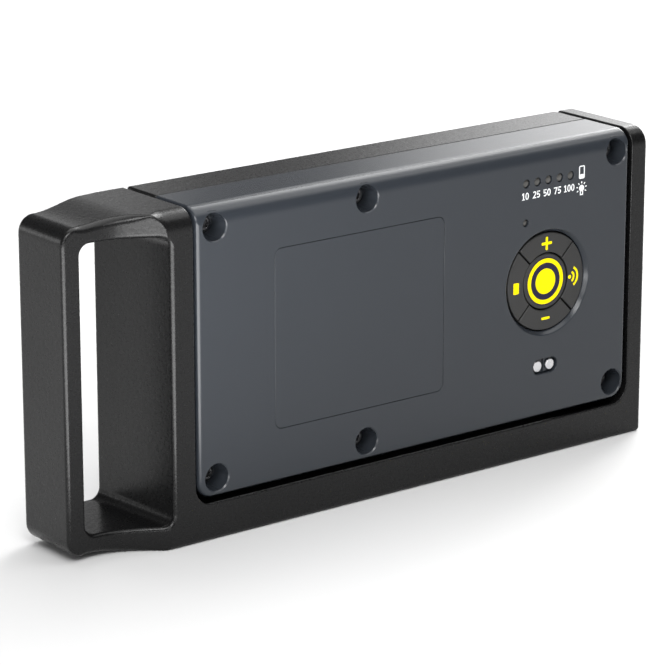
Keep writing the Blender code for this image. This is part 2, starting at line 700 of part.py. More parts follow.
def make_keypad_inside():
    """Sealing membrane with a raised rim, and one switch under each key."""
    rim_rear = REAR + COVER_WALL + SEAT_GAP
    rim_inner = KEY_OUTER + 0.8
    profile = [(MEMBRANE_REAR, rim_inner), (rim_rear, rim_inner), (rim_rear, MEMBRANE_RADIUS),
               (MEMBRANE_REAR + MEMBRANE_THICK, MEMBRANE_RADIUS)]
    turned("keypad_membrane", profile, (KEYPAD_X, KEYPAD_Z), along_y, "seal_rubber", sides=36)
    reach = (KEY_OUTER + KEY_INNER) / 2
    places = {"power": (0, 0), "wireless": (reach, 0), "plus": (0, reach), "battery": (-reach, 0),
              "minus": (0, -reach)}
    for name, (step_x, step_z) in places.items():
        x, z = KEYPAD_X + step_x, KEYPAD_Z + step_z
        switch = box(name + "_switch", (x - 2, SWITCH_REAR + 0.5, z - 2),
                     (x + 2, SWITCH_REAR + SWITCH_THICK, z + 2), "switch_body")
        plunger = turned(name + "_plunger", [(SWITCH_REAR, 1.0), (SWITCH_REAR + 0.8, 1.0)], (x, z),
                         along_y, sides=12)
        cut(switch, plunger, "UNION")


def make_controls():
    plate("label_plate", label_outline(SEAT_GAP), REAR, REAR + LABEL_THICK, "blue_grey_plastic")
    make_keys()
    make_keypad_inside()
    low, high = CONTROL_BOARD_LOW, CONTROL_BOARD_HIGH
    box("control_board", (low[0], CONTROL_BOARD_REAR, low[1]), (high[0], CONTROL_BOARD_REAR + 1.6, high[1]),
        "circuit_green")

    guide_rear = REAR + COVER_WALL + SEAT_GAP
    first, last = indicator_places()[0] - 3, indicator_places()[-1] + 3
    guide = box("indicator_light_guide", (first, guide_rear, INDICATOR_Z - 2.6),
                (last, CONTROL_BOARD_REAR - SEAT_GAP, INDICATOR_Z + 2.6), "smoked_lens")
    pins = bmesh.new()
    for x in indicator_places():
        radius = INDICATOR_HOLE - SEAT_GAP
        profile = [(REAR + 0.5, 0.7), (REAR + 0.9, radius), (guide_rear + 0.5, radius)]
        add_turned(pins, profile, x, INDICATOR_Z, along_y, 12)
    cut(guide, object_from(pins, "guide_pins", None), "UNION")
    profile = [(REAR + 0.7, 0.6), (REAR + 1.0, STATUS_HOLE - SEAT_GAP), (guide_rear, STATUS_HOLE - SEAT_GAP),
               (guide_rear, STATUS_HOLE + 0.8), (CONTROL_BOARD_REAR - SEAT_GAP, STATUS_HOLE + 0.8)]
    turned("status_lens", profile, (STATUS_X, STATUS_Z), along_y, "smoked_lens", sides=16)
    make_contacts()


def make_contacts():
    """Charging contacts in an insulating block, with the magnet that holds the charging lead behind it."""
    face = REAR + CONTACT_DEPTH + 0.5
    block_front = REAR + COVER_WALL + 2.4
    block = plate("contact_block", contact_outline(SEAT_GAP), face, block_front, "black_plastic")
    bores = bmesh.new()
    pins = (CONTACT_X - CONTACT_SPREAD, CONTACT_X + CONTACT_SPREAD)
    for x in pins:
        add_turned(bores, [(face - 1, CONTACT_RADIUS - 0.5), (block_front + 1, CONTACT_RADIUS - 0.5)],
                   x, CONTACT_Z, along_y, 20)
    cut(block, object_from(bores, "contact_bores", None))
    for number, x in enumerate(pins, start=1):
        pin_radius = CONTACT_RADIUS - 0.8
        profile = [(REAR + CONTACT_DEPTH - 0.4, CONTACT_RADIUS - 0.4),
                   (REAR + CONTACT_DEPTH - 0.2, CONTACT_RADIUS),
                   (face - SEAT_GAP, CONTACT_RADIUS), (face - SEAT_GAP, pin_radius),
                   (block_front + 0.4, pin_radius)]
        turned(f"charging_contact_{number}", profile, (x, CONTACT_Z), along_y, "steel", sides=24)
    magnet_low = (CONTACT_X - 6, block_front + 0.7, CONTACT_Z - 3)
    magnet_high = (CONTACT_X + 6, CONTROL_BOARD_REAR - SEAT_GAP, CONTACT_Z + 3)
    box("contact_magnet", magnet_low, magnet_high, "magnet_nickel")


# ---------------------------------------------------------------- battery and electronics
CELL_RADIUS = 9.2
CELL_LENGTH = 65.0
CELL_PITCH = 19.4
CELL_COUNT = 5
CELL_FIRST_X = -53.0
CELL_Y = -8.6
HOLDER_WALL = 2.2
HOLDER_REAR = -16.5
HOLDER_BACK = 1.0


def make_battery():
    low_z = PIVOT_Z - CELL_LENGTH / 2
    high_z = PIVOT_Z + CELL_LENGTH / 2
    for number in range(CELL_COUNT):
        x = CELL_FIRST_X + CELL_PITCH * number
        profile = [(low_z, CELL_RADIUS), (high_z - 1.5, CELL_RADIUS), (high_z - 1.5, 3.5), (high_z, 3.5)]
        turned(f"battery_cell_{number + 1}", profile, (x, CELL_Y), along_z, "cell_sleeve", sides=18)
    inner_low, inner_high = low_z - SEAT_GAP, high_z + SEAT_GAP
    outer_back = HOLDER_BACK + 1.4
    outline = [(HOLDER_REAR, inner_low - HOLDER_WALL), (outer_back, inner_low - HOLDER_WALL),
               (outer_back, inner_high + HOLDER_WALL), (HOLDER_REAR, inner_high + HOLDER_WALL),
               (HOLDER_REAR, inner_high), (HOLDER_BACK, inner_high), (HOLDER_BACK, inner_low),
               (HOLDER_REAR, inner_low)]
    ends = (CELL_FIRST_X - CELL_RADIUS - 0.4, CELL_FIRST_X + CELL_PITCH * (CELL_COUNT - 1) + CELL_RADIUS + 0.4)
    loft("battery_holder", [along_x(outline, x) for x in ends], "black_plastic")
    box("driver_board", (44.0, -2.0, 30.0), (101.0, -0.4, 104.0), "circuit_green")


def main():
    clear_scene()
    make_frame()
    make_pivots()
    make_rear_cover()
    make_front_housing()
    make_light_side()
    make_cover_screws()
    make_controls()
    make_battery()


main()
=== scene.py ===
"""Looks of the LED floodlight: finished shells, keys, prints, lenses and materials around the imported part.

Axes as in the part: X along the length (grip at -X), -Y the control side, +Y the light side, +Z up.
Shapes are drawn in millimetres and written to meshes in metres.
"""
import json
import math

import bmesh
import bpy
import numpy as np
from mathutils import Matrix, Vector


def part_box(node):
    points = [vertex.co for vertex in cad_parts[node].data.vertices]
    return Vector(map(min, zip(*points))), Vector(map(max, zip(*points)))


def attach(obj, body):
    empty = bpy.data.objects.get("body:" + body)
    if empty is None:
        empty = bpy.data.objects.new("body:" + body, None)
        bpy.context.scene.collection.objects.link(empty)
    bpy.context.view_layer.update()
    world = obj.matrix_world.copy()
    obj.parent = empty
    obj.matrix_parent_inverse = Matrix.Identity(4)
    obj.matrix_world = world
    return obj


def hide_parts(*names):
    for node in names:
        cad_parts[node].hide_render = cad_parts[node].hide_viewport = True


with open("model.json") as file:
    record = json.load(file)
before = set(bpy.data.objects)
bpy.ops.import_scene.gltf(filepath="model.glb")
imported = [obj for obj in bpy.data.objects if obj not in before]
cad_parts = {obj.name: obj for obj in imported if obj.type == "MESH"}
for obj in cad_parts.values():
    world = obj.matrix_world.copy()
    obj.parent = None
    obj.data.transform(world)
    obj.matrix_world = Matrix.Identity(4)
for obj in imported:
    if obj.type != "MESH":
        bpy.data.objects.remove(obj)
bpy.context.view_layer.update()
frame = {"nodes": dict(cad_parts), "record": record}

MM = 0.001


def box_mm(node):
    low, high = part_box(node)
    return low / MM, high / MM


def middle_of(low, high):
    """Middle of a box as seen from the control side: X and Z."""
    return (low.x + high.x) / 2, (low.z + high.z) / 2


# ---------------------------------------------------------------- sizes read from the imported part
frame_low, frame_high = box_mm("frame")
LEFT, RIGHT = frame_low.x, frame_high.x
REAR, FRONT = frame_low.y, frame_high.y
TOP = frame_high.z
cover_low, cover_high = box_mm("rear_cover")
HEAD_LEFT, HEAD_RIGHT = cover_low.x, cover_high.x
HEAD_BOTTOM, HEAD_TOP = cover_low.z, cover_high.z
COVER_RIM = cover_high.y
HOUSING_RIM = COVER_RIM + 0.3
power_low, power_high = box_mm("power_button")
KEYPAD_X, KEYPAD_Z = middle_of(power_low, power_high)
PIVOT_Y, PIVOT_Z = -1.5, (HEAD_BOTTOM + HEAD_TOP) / 2
SCREWS = [box_mm(f"cover_screw_{number}") for number in range(1, 7)]
CONTACTS = [box_mm(f"charging_contact_{number}") for number in (1, 2)]

# ---------------------------------------------------------------- sizes of the shapes
SIDE_GAP = 1.4
RAIL_TOP = 13.1
GRIP_BAR = 7.2
GRIP_FLOOR = 8.5
GRIP_ROOF = 8.0
GRIP_RIGHT = 37.4
GRIP_TAPER = 3.6
GRIP_CORNER = 4.0
TOP_ROUND = 7.0
END_ROUND = 6.0
HEAD_CORNER = 6.0
SHARP_CORNER = 1.2
# The neck narrows between two distances from the left end, later on the light side, top and bottom.
NECK = (35.8, 12.2)
NECK_LATE = (28.0, 7.0)
NECK_REAR, NECK_FRONT, NECK_VERTICAL = 9.2, 4.8, 1.8
NECK_SLOPE = 0.94  # keeps the neck's rounds true where its face leans
# Radii of the frame's rounded edges; SHARP stands for no round at all.
EDGE, BAR_EDGE, ROOM_EDGE, SWEEP_EDGE, SHARP = 1.5, 1.4, 0.45, 0.3, 0.001
NECK_EDGE, NECK_EDGE_LIGHT_SIDE = 2.6, 2.4
SWEEP_GAP = 0.7  # air around the turning head
ENDS_MEET = -20.0  # where the grip's form hands over to the plain arm's
CHANNEL_MARGIN = 2.0
KEYPAD_RIM = 20.0
KEYPAD_BORE = 18.8
KEYPAD_BEVEL = 1.6
KEYPAD_LIP = 0.12  # small flats that soften the two edges of the bevel
KEY_OUTER = 18.35
KEY_INNER = 10.9
KEY_FACE = box_mm("plus_button")[0].y
KEY_SLOT = 0.6
SCREW_WELL = 4.8
SCREW_SEAT = REAR + 8.4
BOSS_START = REAR + 1.9  # deep enough to stay clear of the cover's rounded edge
BOSS_RADIUS = SCREW_WELL + 0.8
SCREW_BORE = 1.8
COVER_WALL = 2.4
COVER_ROUND = 1.8
COVER_BACK = REAR + COVER_WALL + 1
RIM_CHAMFER = 0.25
HOUSING_ROUND = 1.5
HOUSING_WALL = 3.0
HOUSING_FACE = 4.6
HOUSING_SIDE_STEP = 0.35  # the housing stands in from the cover at its sides
WINDOW_LEDGE = 3.9
INDICATORS = [67.4 + 5.35 * step for step in range(5)]
INDICATOR_Z = 104.9
INDICATOR_HOLE = 1.6
STATUS = (67.3, 90.3)
STATUS_HOLE = 1.4
LABEL_LOW, LABEL_HIGH = (-46.5, 34.4), (29.0, 99.1)


# ---------------------------------------------------------------- node helpers
NOISE_SPAN = (0.3, 0.7)  # most values of a noise lie between these


def set_inputs(node, values):
    """Sets a node's sockets by name, with _ for a space."""
    for name, value in values.items():
        node.inputs[name.replace("_", " ")].default_value = value


class Nodes:
    """A material's node tree with short names for the few nodes that the finishes use."""

    def __init__(self, name):
        self.material = bpy.data.materials.new(name)
        self.material.use_nodes = True
        self.tree = self.material.node_tree
        self.shader = self.tree.nodes["Principled BSDF"]
        self.place = self.add_node("TexCoord").outputs["Object"]

    def link(self, source, target):
        self.tree.links.new(source, target)

    def add_node(self, kind, **values):
        node = self.tree.nodes.new("ShaderNode" + kind)
        set_inputs(node, values)
        return node

    def noise(self, scale, detail=2.0, roughness=0.5):
        node = self.add_node("TexNoise", Scale=scale, Detail=detail, Roughness=roughness)
        self.link(self.place, node.inputs["Vector"])
        return node.outputs["Fac"]

    def cells(self, scale):
        node = self.add_node("TexVoronoi", Scale=scale)
        node.feature = "SMOOTH_F1"
        set_inputs(node, {"Smoothness": 0.6})
        self.link(self.place, node.inputs["Vector"])
        return node.outputs["Distance"]

    def ramp(self, value, low, high):
        start, end = NOISE_SPAN
        node = self.add_node("MapRange", From_Min=start, From_Max=end, To_Min=low, To_Max=high)
        self.link(value, node.inputs["Value"])
        return node.outputs["Result"]

    def colours(self, value, first, second):
        node = self.add_node("ValToRGB")
        for stop, position, colour in zip(node.color_ramp.elements, NOISE_SPAN, (first, second)):
            stop.position = position
            stop.color = (*colour, 1.0)
        self.link(value, node.inputs["Fac"])
        return node.outputs["Color"]

    def add(self, first, second):
        node = self.add_node("Math")
        node.operation = "ADD"
        self.link(first, node.inputs[0])
        self.link(second, node.inputs[1])
        return node.outputs["Value"]

    def bump(self, height, strength, distance):
        node = self.add_node("Bump", Strength=strength, Distance=distance)
        self.link(height, node.inputs["Height"])
        self.link(node.outputs["Normal"], self.shader.inputs["Normal"])

    def set(self, **values):
        set_inputs(self.shader, values)


def moulded_plastic(name, base, lighter, grain, depth, rough, specular):
    """Moulded plastic: fine spark-eroded grain, faint cloudiness in colour and in gloss."""
    nodes = Nodes(name)
    clouds = nodes.noise(28.0, 3.0)
    nodes.link(nodes.colours(clouds, base, lighter), nodes.shader.inputs["Base Color"])
    fine = nodes.noise(grain, 3.0, 0.6)
    nodes.link(nodes.ramp(fine, rough[0], rough[1]), nodes.shader.inputs["Roughness"])
    nodes.bump(nodes.add(fine, nodes.cells(grain * 0.55)), 0.55, depth)
    nodes.set(Specular_IOR_Level=specular)
    return nodes.material


def metal(name, colour, rough, brush_scale):
    nodes = Nodes(name)
    clouds = nodes.noise(90.0, 4.0)
    darker = tuple(channel * 0.82 for channel in colour)
    nodes.link(nodes.colours(clouds, darker, colour), nodes.shader.inputs["Base Color"])
    nodes.link(nodes.ramp(clouds, rough[0], rough[1]), nodes.shader.inputs["Roughness"])
    nodes.bump(nodes.noise(brush_scale, 4.0, 0.7), 0.25, 0.00003)
    nodes.set(Metallic=1.0)
    return nodes.material


def painted_shade_black(name):
    """Painted shade for the channel under the head: near-black colour with a trace of mottling and almost no
    gloss, standing in for the shadow there.
    """
    nodes = Nodes(name)
    painted_shade_tone = nodes.colours(nodes.noise(400.0), (0.0010, 0.0010, 0.0010), (0.0018, 0.0018, 0.0018))
    nodes.link(painted_shade_tone, nodes.shader.inputs["Base Color"])
    nodes.set(Roughness=1.0, Specular_IOR_Level=0.02)
    return nodes.material


def print_ink(name, colour, rough):
    nodes = Nodes(name)
    speckle = nodes.noise(1800.0, 3.0)
    thin = tuple(channel * 0.9 for channel in colour)
    nodes.link(nodes.colours(speckle, thin, colour), nodes.shader.inputs["Base Color"])
    nodes.link(nodes.ramp(speckle, rough, rough + 0.15), nodes.shader.inputs["Roughness"])
    nodes.set(Specular_IOR_Level=0.12)
    return nodes.material


def clear_plastic(name, tint, rough, ior):
    nodes = Nodes(name)
    haze = nodes.noise(60.0, 3.0)
    nodes.link(nodes.ramp(haze, rough, rough + 0.03), nodes.shader.inputs["Roughness"])
    nodes.set(Base_Color=(*tint, 1.0), Transmission_Weight=1.0, IOR=ior)
    return nodes.material


frame_plastic = moulded_plastic("frame_plastic", (0.0040, 0.0040, 0.0042), (0.0055, 0.0055, 0.0057), 1000.0,
                                0.00005, (0.25, 0.32), 0.26)
cover_plastic = moulded_plastic("cover_plastic", (0.0225, 0.0262, 0.0320), (0.0235, 0.0272, 0.0330), 2600.0,
                                0.0000002, (0.245, 0.255), 0.35)
key_rubber = moulded_plastic("key_rubber", (0.020, 0.0198, 0.0195), (0.023, 0.0228, 0.0225), 2200.0, 0.00003,
                             (0.42, 0.52), 0.4)
seal_rubber = moulded_plastic("seal_rubber", (0.010, 0.010, 0.010), (0.014, 0.014, 0.014), 1200.0, 0.00003,
                              (0.65, 0.8), 0.3)
reflector_white = moulded_plastic("reflector_white", (0.78, 0.78, 0.77), (0.84, 0.84, 0.83), 900.0, 0.00001,
                                  (0.14, 0.22), 0.5)
board_white = moulded_plastic("board_white", (0.66, 0.66, 0.63), (0.72, 0.72, 0.69), 1600.0, 0.00001,
                              (0.35, 0.45), 0.5)
led_phosphor = moulded_plastic("led_phosphor", (0.80, 0.62, 0.12), (0.88, 0.70, 0.18), 3000.0, 0.00001,
                               (0.35, 0.45), 0.5)
washer_plastic = moulded_plastic("washer_plastic", (0.07, 0.07, 0.07), (0.09, 0.09, 0.09), 1500.0, 0.00003,
                                 (0.4, 0.5), 0.5)
switch_plastic = moulded_plastic("switch_plastic", (0.02, 0.02, 0.02), (0.03, 0.03, 0.03), 1500.0, 0.00002,
                                 (0.35, 0.45), 0.5)
board_green = moulded_plastic("board_green", (0.01, 0.10, 0.04), (0.015, 0.14, 0.06), 1200.0, 0.00001,
                              (0.25, 0.35), 0.5)
cell_sleeve = moulded_plastic("cell_sleeve", (0.02, 0.12, 0.07), (0.03, 0.15, 0.09), 1000.0, 0.00001,
                              (0.25, 0.35), 0.5)
screw_steel = metal("screw_steel", (0.16, 0.16, 0.165), (0.22, 0.36), 2500.0)
contact_metal = metal("contact_metal", (0.66, 0.66, 0.67), (0.24, 0.34), 2500.0)
heat_sink_metal = metal("heat_sink_metal", (0.62, 0.63, 0.65), (0.35, 0.5), 1500.0)
brass = metal("brass", (0.62, 0.44, 0.18), (0.25, 0.4), 1800.0)
bronze = metal("bronze", (0.42, 0.28, 0.14), (0.35, 0.5), 1800.0)
white_ink = print_ink("white_ink", (0.86, 0.87, 0.88), 0.45)
yellow_ink = print_ink("yellow_ink", (1.0, 0.80, 0.0), 0.6)
window_clear = clear_plastic("window_clear", (0.97, 0.98, 0.98), 0.02, 1.5)
navy_ink = print_ink("navy_ink", (0.018, 0.016, 0.042), 0.45)
# Near-black painted shade for the channel under the head, where the real lamp is in shadow.
painted_shade_channel = painted_shade_black("painted_shade_channel")
lens_grey = moulded_plastic("lens_grey", (0.040, 0.039, 0.036), (0.075, 0.073, 0.068), 900.0, 0.000004,
                            (0.10, 0.16), 0.6)


# ---------------------------------------------------------------- mesh helpers
def make_object(bm, name, finish, bevel_angle=32):
    bmesh.ops.recalc_face_normals(bm, faces=bm.faces)
    mesh = bpy.data.meshes.new(name)
    bm.to_mesh(mesh)
    bm.free()
    mesh.shade_smooth()
    mesh.set_sharp_from_angle(angle=math.radians(bevel_angle))
    made = bpy.data.objects.new(name, mesh)
    bpy.context.scene.collection.objects.link(made)
    if finish:
        mesh.materials.append(finish)
    return made


def add_loft(bm, loops):
    """Skin over closed loops of equal length, with a flat cap on each end."""
    rows = [[bm.verts.new(Vector(point) * MM) for point in loop] for loop in loops]
    for lower, upper in zip(rows, rows[1:]):
        for i, corner in enumerate(lower):
            j = (i + 1) % len(lower)
            bm.faces.new((corner, lower[j], upper[j], upper[i]))
    bm.faces.new(rows[0])
    bm.faces.new(rows[-1])


def loft(name, loops, finish=None, bevel_angle=32):
    bm = bmesh.new()
    add_loft(bm, loops)
    return make_object(bm, name, finish, bevel_angle)


def arc(u, v, radius, start, end, steps):
    angles = [math.radians(start + (end - start) * i / steps) for i in range(steps + 1)]
    return [(u + radius * math.cos(angle), v + radius * math.sin(angle)) for angle in angles]


def circle(u, v, radius, sides):
    return arc(u, v, radius, 0, 360 - 360 / sides, sides - 1)


def rounded(low_u, low_v, high_u, high_v, radii, steps=12):
    """Rounded rectangle: radii at its lower right, upper right, upper left and lower left corners."""
    lower_right, upper_right, upper_left, lower_left = radii
    points = arc(high_u - lower_right, low_v + lower_right, lower_right, -90, 0, steps)
    points += arc(high_u - upper_right, high_v - upper_right, upper_right, 0, 90, steps)
    points += arc(low_u + upper_left, high_v - upper_left, upper_left, 90, 180, steps)
    points += arc(low_u + lower_left, low_v + lower_left, lower_left, 180, 270, steps)
    return points


def along_x(points, x):
    return [(x, u, v) for u, v in points]


def along_y(points, y):
    return [(u, y, v) for u, v in points]


def add_turned(bm, profile, u, v, place, sides):
    """Closed solid of circles: profile is (position, radius) along the axis that place sets."""
    add_loft(bm, [place(circle(u, v, radius, sides), at) for at, radius in profile])


def cut(target, bm, operation="DIFFERENCE"):
    """Applies a Boolean with the solid in bm, so that the finished mesh needs no modifier for it."""
    tool = make_object(bm, target.name + "_tool", None)
    step = target.modifiers.new("cut", "BOOLEAN")
    step.operation = operation
    step.solver = "EXACT"
    step.object = tool
    apply_modifiers(target)
    bpy.data.objects.remove(tool, do_unlink=True)


def apply_modifiers(target):
    bpy.context.view_layer.update()
    solid = target.evaluated_get(bpy.context.evaluated_depsgraph_get())
    mesh = bpy.data.meshes.new_from_object(solid)
    target.modifiers.clear()
    target.data = mesh


def soften(target, angle=32):
    """Even shading: curved faces are smooth, large flat faces stay flat."""
    target.data.shade_smooth()
    target.data.set_sharp_from_angle(angle=math.radians(angle))
    step = target.modifiers.new("even_normals", "WEIGHTED_NORMAL")
    step.keep_sharp = True
    step.weight = 50


def finish_piece(piece, body, slot, *nodes):
    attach(piece, body)
    if nodes:
        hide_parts(*nodes)


def round_inset(radius, depth):
    """How far a rounded edge of this radius has drawn in at a depth below the end face."""
    short = min(max(radius - depth, 0.0), radius)
    return radius - math.sqrt(radius ** 2 - short ** 2)


def edge_depths(radius, steps):
    return [radius * (1 - math.cos(math.pi / 2 * i / steps)) for i in range(steps + 1)]


def mouth(outline_at, y_face, y_bottom, radius, inward=1, steps=5):
    """Loops of a cutter whose mouth is rounded where it leaves a flat face, from outside to the bottom.

    outline_at gives the outline grown by a distance; inward is +1 for a hole that goes towards +Y.
    """
    loops = [along_y(outline_at(radius * 1.02), y_face - inward * 1.0),
             along_y(outline_at(radius * 1.02), y_face - inward * 0.002)]
    for i in range(1, steps + 1):
        angle = math.pi / 2 * i / steps
        grown = radius * (1 - math.sin(angle))
        loops.append(along_y(outline_at(grown), y_face + inward * radius * (1 - math.cos(angle))))
    loops.append(along_y(outline_at(0.0), y_bottom))
    return loops


# ---------------------------------------------------------------- frame as a rounded field
def round_max(first, second, radius):
    """Both fields at once, with a true round of this radius where their surfaces meet."""
    over = np.hypot(np.maximum(first + radius, 0), np.maximum(second + radius, 0))
    return np.minimum(-radius, np.maximum(first, second)) + over


def ease_out(share):
    return np.sin(math.pi / 2 * np.clip(share, 0, 1))


def ease_both(share):
    share = np.clip(share, 0, 1)
    return share * share * (3 - 2 * share)


def frame_field(x, y, z):
    """Below zero inside the frame: body with neck and grip, minus the grip opening and the head's room."""
    from_left = x - LEFT
    neck = ease_out((NECK[0] - from_left) / (NECK[0] - NECK[1]))
    late_share = np.clip((NECK_LATE[0] - from_left) / (NECK_LATE[0] - NECK_LATE[1]), 0, 1)
    lower = ease_both(late_share)
    late = (lower + 2 * late_share) / 3
    bar = ease_both((9.0 - from_left) / 6.0)
    narrow = ease_both((NECK[0] + 1.0 - from_left) / 9.0)

    low = NECK_VERTICAL * lower - z
    high = z - (TOP - NECK_VERTICAL * lower)
    ends = round_max(round_max(LEFT - x, high, END_ROUND), low, END_ROUND)
    upper_edge = TOP_ROUND + (NECK_EDGE - TOP_ROUND) * narrow
    lower_edge = EDGE + (NECK_EDGE - EDGE) * narrow
    rear_edge = np.where(z > PIVOT_Z, upper_edge, lower_edge)
    grip_end = round_max(ends, REAR - y, rear_edge * (1 - bar) + BAR_EDGE * bar)
    arm_end = round_max(round_max(high, REAR - y, TOP_ROUND), low, EDGE)
    arm_end = round_max(arm_end, x - RIGHT, EDGE)
    body = np.where(x < ENDS_MEET, grip_end, arm_end)
    along_neck = ease_both((NECK[0] - from_left) / 12.0)
    neck_edge = SHARP + (NECK_EDGE + (BAR_EDGE - NECK_EDGE) * bar) * along_neck
    body = round_max(body, (REAR + NECK_REAR * neck - y) * NECK_SLOPE, neck_edge)
    front_edge = EDGE + (NECK_EDGE_LIGHT_SIDE - EDGE) * narrow
    body = round_max(body, y - (FRONT - NECK_FRONT * late), front_edge)

    wall = LEFT + GRIP_RIGHT - GRIP_TAPER * (y - REAR) / (FRONT - REAR)
    opening = round_max(LEFT + GRIP_BAR - x, x - wall, SHARP)
    upright = round_max(GRIP_FLOOR - z, z - (TOP - GRIP_ROOF), SHARP)
    opening = round_max(opening, upright, GRIP_CORNER)
    body = round_max(body, -opening, EDGE)

    room = round_max(HEAD_LEFT - SIDE_GAP - x, x - (HEAD_RIGHT + SIDE_GAP), SHARP)
    room = round_max(room, RAIL_TOP - z, HEAD_CORNER + SIDE_GAP)
    body = round_max(body, -room, ROOM_EDGE)

    inset = np.minimum(x - HEAD_LEFT, HEAD_RIGHT - x) + SWEEP_GAP
    into_corner = np.clip(HEAD_CORNER - inset, 0, HEAD_CORNER)
    drawn_in = HEAD_CORNER - np.sqrt(np.maximum(HEAD_CORNER ** 2 - into_corner ** 2, 0))
    half_depth = max(PIVOT_Y - REAR, FRONT - PIVOT_Y)
    reach = np.hypot(half_depth, PIVOT_Z - HEAD_BOTTOM - drawn_in) + SWEEP_GAP
    sweep = np.maximum(np.hypot(y - PIVOT_Y, z - PIVOT_Z) - reach, -inset)
    return round_max(body, -sweep, SWEEP_EDGE)


def marks(*spans):
    """Grid lines along one axis from (end, step) spans, the first item being the start."""
    lines = [spans[0]]
    for end, step in spans[1:]:
        count = max(1, round((end - lines[-1]) / step))
        lines += list(np.linspace(lines[-1], end, count + 1)[1:])
    return np.array(lines)


def shifted(array, axis, start, stop):
    slices = [slice(None)] * array.ndim
    slices[axis] = slice(start, stop)
    return array[tuple(slices)]


def field_normal(field, points, step=0.01):
    slopes = np.empty_like(points)
    for axis in range(3):
        offset = np.zeros(3)
        offset[axis] = step
        ahead, behind = points + offset, points - offset
        slopes[:, axis] = (field(*ahead.T) - field(*behind.T)) / (2 * step)
    return slopes


def mesh_of_field(name, field, lines, finish):
    """Quad mesh of the surface where the field is zero, one vertex in each grid cell that it crosses."""
    grid = np.meshgrid(*lines, indexing="ij")
    value = field(*grid)
    shape = tuple(len(line) - 1 for line in lines)
    total, count = np.zeros(shape + (3,)), np.zeros(shape)
    crossings = []
    for axis in range(3):
        near, far = shifted(value, axis, None, -1), shifted(value, axis, 1, None)
        crossed = (near < 0) != (far < 0)
        share = np.where(crossed, near / np.where(crossed, near - far, 1.0), 0.0)
        point = np.stack([shifted(g, axis, None, -1) for g in grid], -1)
        length = shifted(grid[axis], axis, 1, None) - shifted(grid[axis], axis, None, -1)
        point[..., axis] += share * length
        crossings.append((crossed, near < 0))
        first, second = [other for other in range(3) if other != axis]
        for a in (0, 1):
            for b in (0, 1):
                near_cells, near_points = (
                    shifted(shifted(grid_values, first, a, shape[first] + a), second, b, shape[second] + b)
                    for grid_values in (crossed, point))
                total += np.where(near_cells[..., None], near_points, 0.0)
                count += near_cells
    used = count > 0
    index = np.full(shape, -1)
    index[used] = np.arange(used.sum())
    points = total[used] / count[used][:, None]
    for _ in range(4):
        slopes = field_normal(field, points)
        square = np.maximum((slopes ** 2).sum(1), 0.05)
        move = -(field(*points.T) / square)[:, None] * slopes
        points += np.clip(move, -0.3, 0.3)

    quads = []
    for axis, (crossed, inside) in enumerate(crossings):
        first, second = (axis + 1) % 3, (axis + 2) % 3
        inner = [slice(None)] * 3
        inner[first], inner[second] = slice(1, -1), slice(1, -1)
        keep, solid = crossed[tuple(inner)], inside[tuple(inner)]
        places = np.argwhere(keep)
        places[:, first] += 1
        places[:, second] += 1
        corners = []
        for a, b in ((-1, -1), (0, -1), (0, 0), (-1, 0)):
            cell = places.copy()
            cell[:, first] += a
            cell[:, second] += b
            corners.append(index[cell[:, 0], cell[:, 1], cell[:, 2]])
        corners = np.stack(corners, 1)
        corners[~solid[keep]] = corners[~solid[keep]][:, ::-1]
        quads.append(corners)
    faces = np.concatenate(quads)

    mesh = bpy.data.meshes.new(name)
    mesh.vertices.add(len(points))
    mesh.vertices.foreach_set("co", (points * MM).astype(np.float32).ravel())
    mesh.loops.add(faces.size)
    mesh.loops.foreach_set("vertex_index", faces.ravel().astype(np.int32))
    mesh.polygons.add(len(faces))
    mesh.polygons.foreach_set("loop_start", np.arange(0, faces.size, 4, dtype=np.int32))
    mesh.update(calc_edges=True)
    mesh.validate()
    mesh.shade_smooth()
    normals = field_normal(field, points)
    normals /= np.linalg.norm(normals, axis=1)[:, None]
    mesh.normals_split_custom_set_from_vertices(normals.tolist())
    mesh.materials.append(finish)
    made = bpy.data.objects.new(name, mesh)
    bpy.context.scene.collection.objects.link(made)
    return made


def in_shaded_channel(face):
    """True for the upward faces of the channel that runs under the head; these get the painted shade."""
    x, y, z = face.center / MM
    across = abs(y) < FRONT - 1.2
    in_height = 1.0 < z < RAIL_TOP - 0.3
    in_length = HEAD_LEFT + CHANNEL_MARGIN < x < HEAD_RIGHT - CHANNEL_MARGIN
    return across and in_height and in_length and face.normal.z > 0.3


def make_frame_shell():
    """Frame on a grid whose lines lie closest together where its edges are rounded."""
    room_left, room_right = HEAD_LEFT - SIDE_GAP, HEAD_RIGHT + SIDE_GAP
    lines_x = marks(LEFT - 0.5, (LEFT + 10.5, 0.45), (LEFT + 31, 0.9), (LEFT + 40, 0.5),
                    (room_left - 1.4, 0.7), (room_left + 2, 0.3), (room_left + 9, 0.6), (room_right - 9, 3.0),
                    (room_right - 2, 0.6), (room_right + 1.4, 0.3), (RIGHT - 2.2, 0.8), (RIGHT + 0.5, 0.3))
    lines_y = marks(REAR - 0.5, (REAR + 3, 0.3), (REAR + 13, 0.5), (FRONT - 10, 1.5), (FRONT + 0.5, 0.4))
    lines_z = marks(-0.5, (2.4, 0.3), (6.5, 0.6), (14.5, 0.4), (22, 0.7), (TOP - 18, 2.5), (TOP - 11, 0.6),
                    (TOP + 0.5, 0.35))
    shell = mesh_of_field("frame_shell", frame_field, (lines_x, lines_y, lines_z), frame_plastic)
    # The channel's upward faces get a near-black painted shade, standing in for the shadow under the head.
    shell.data.materials.append(painted_shade_channel)
    for face in shell.data.polygons:
        if in_shaded_channel(face):
            face.material_index = 1
    finish_piece(shell, "frame_body", "frame_plastic", "frame")


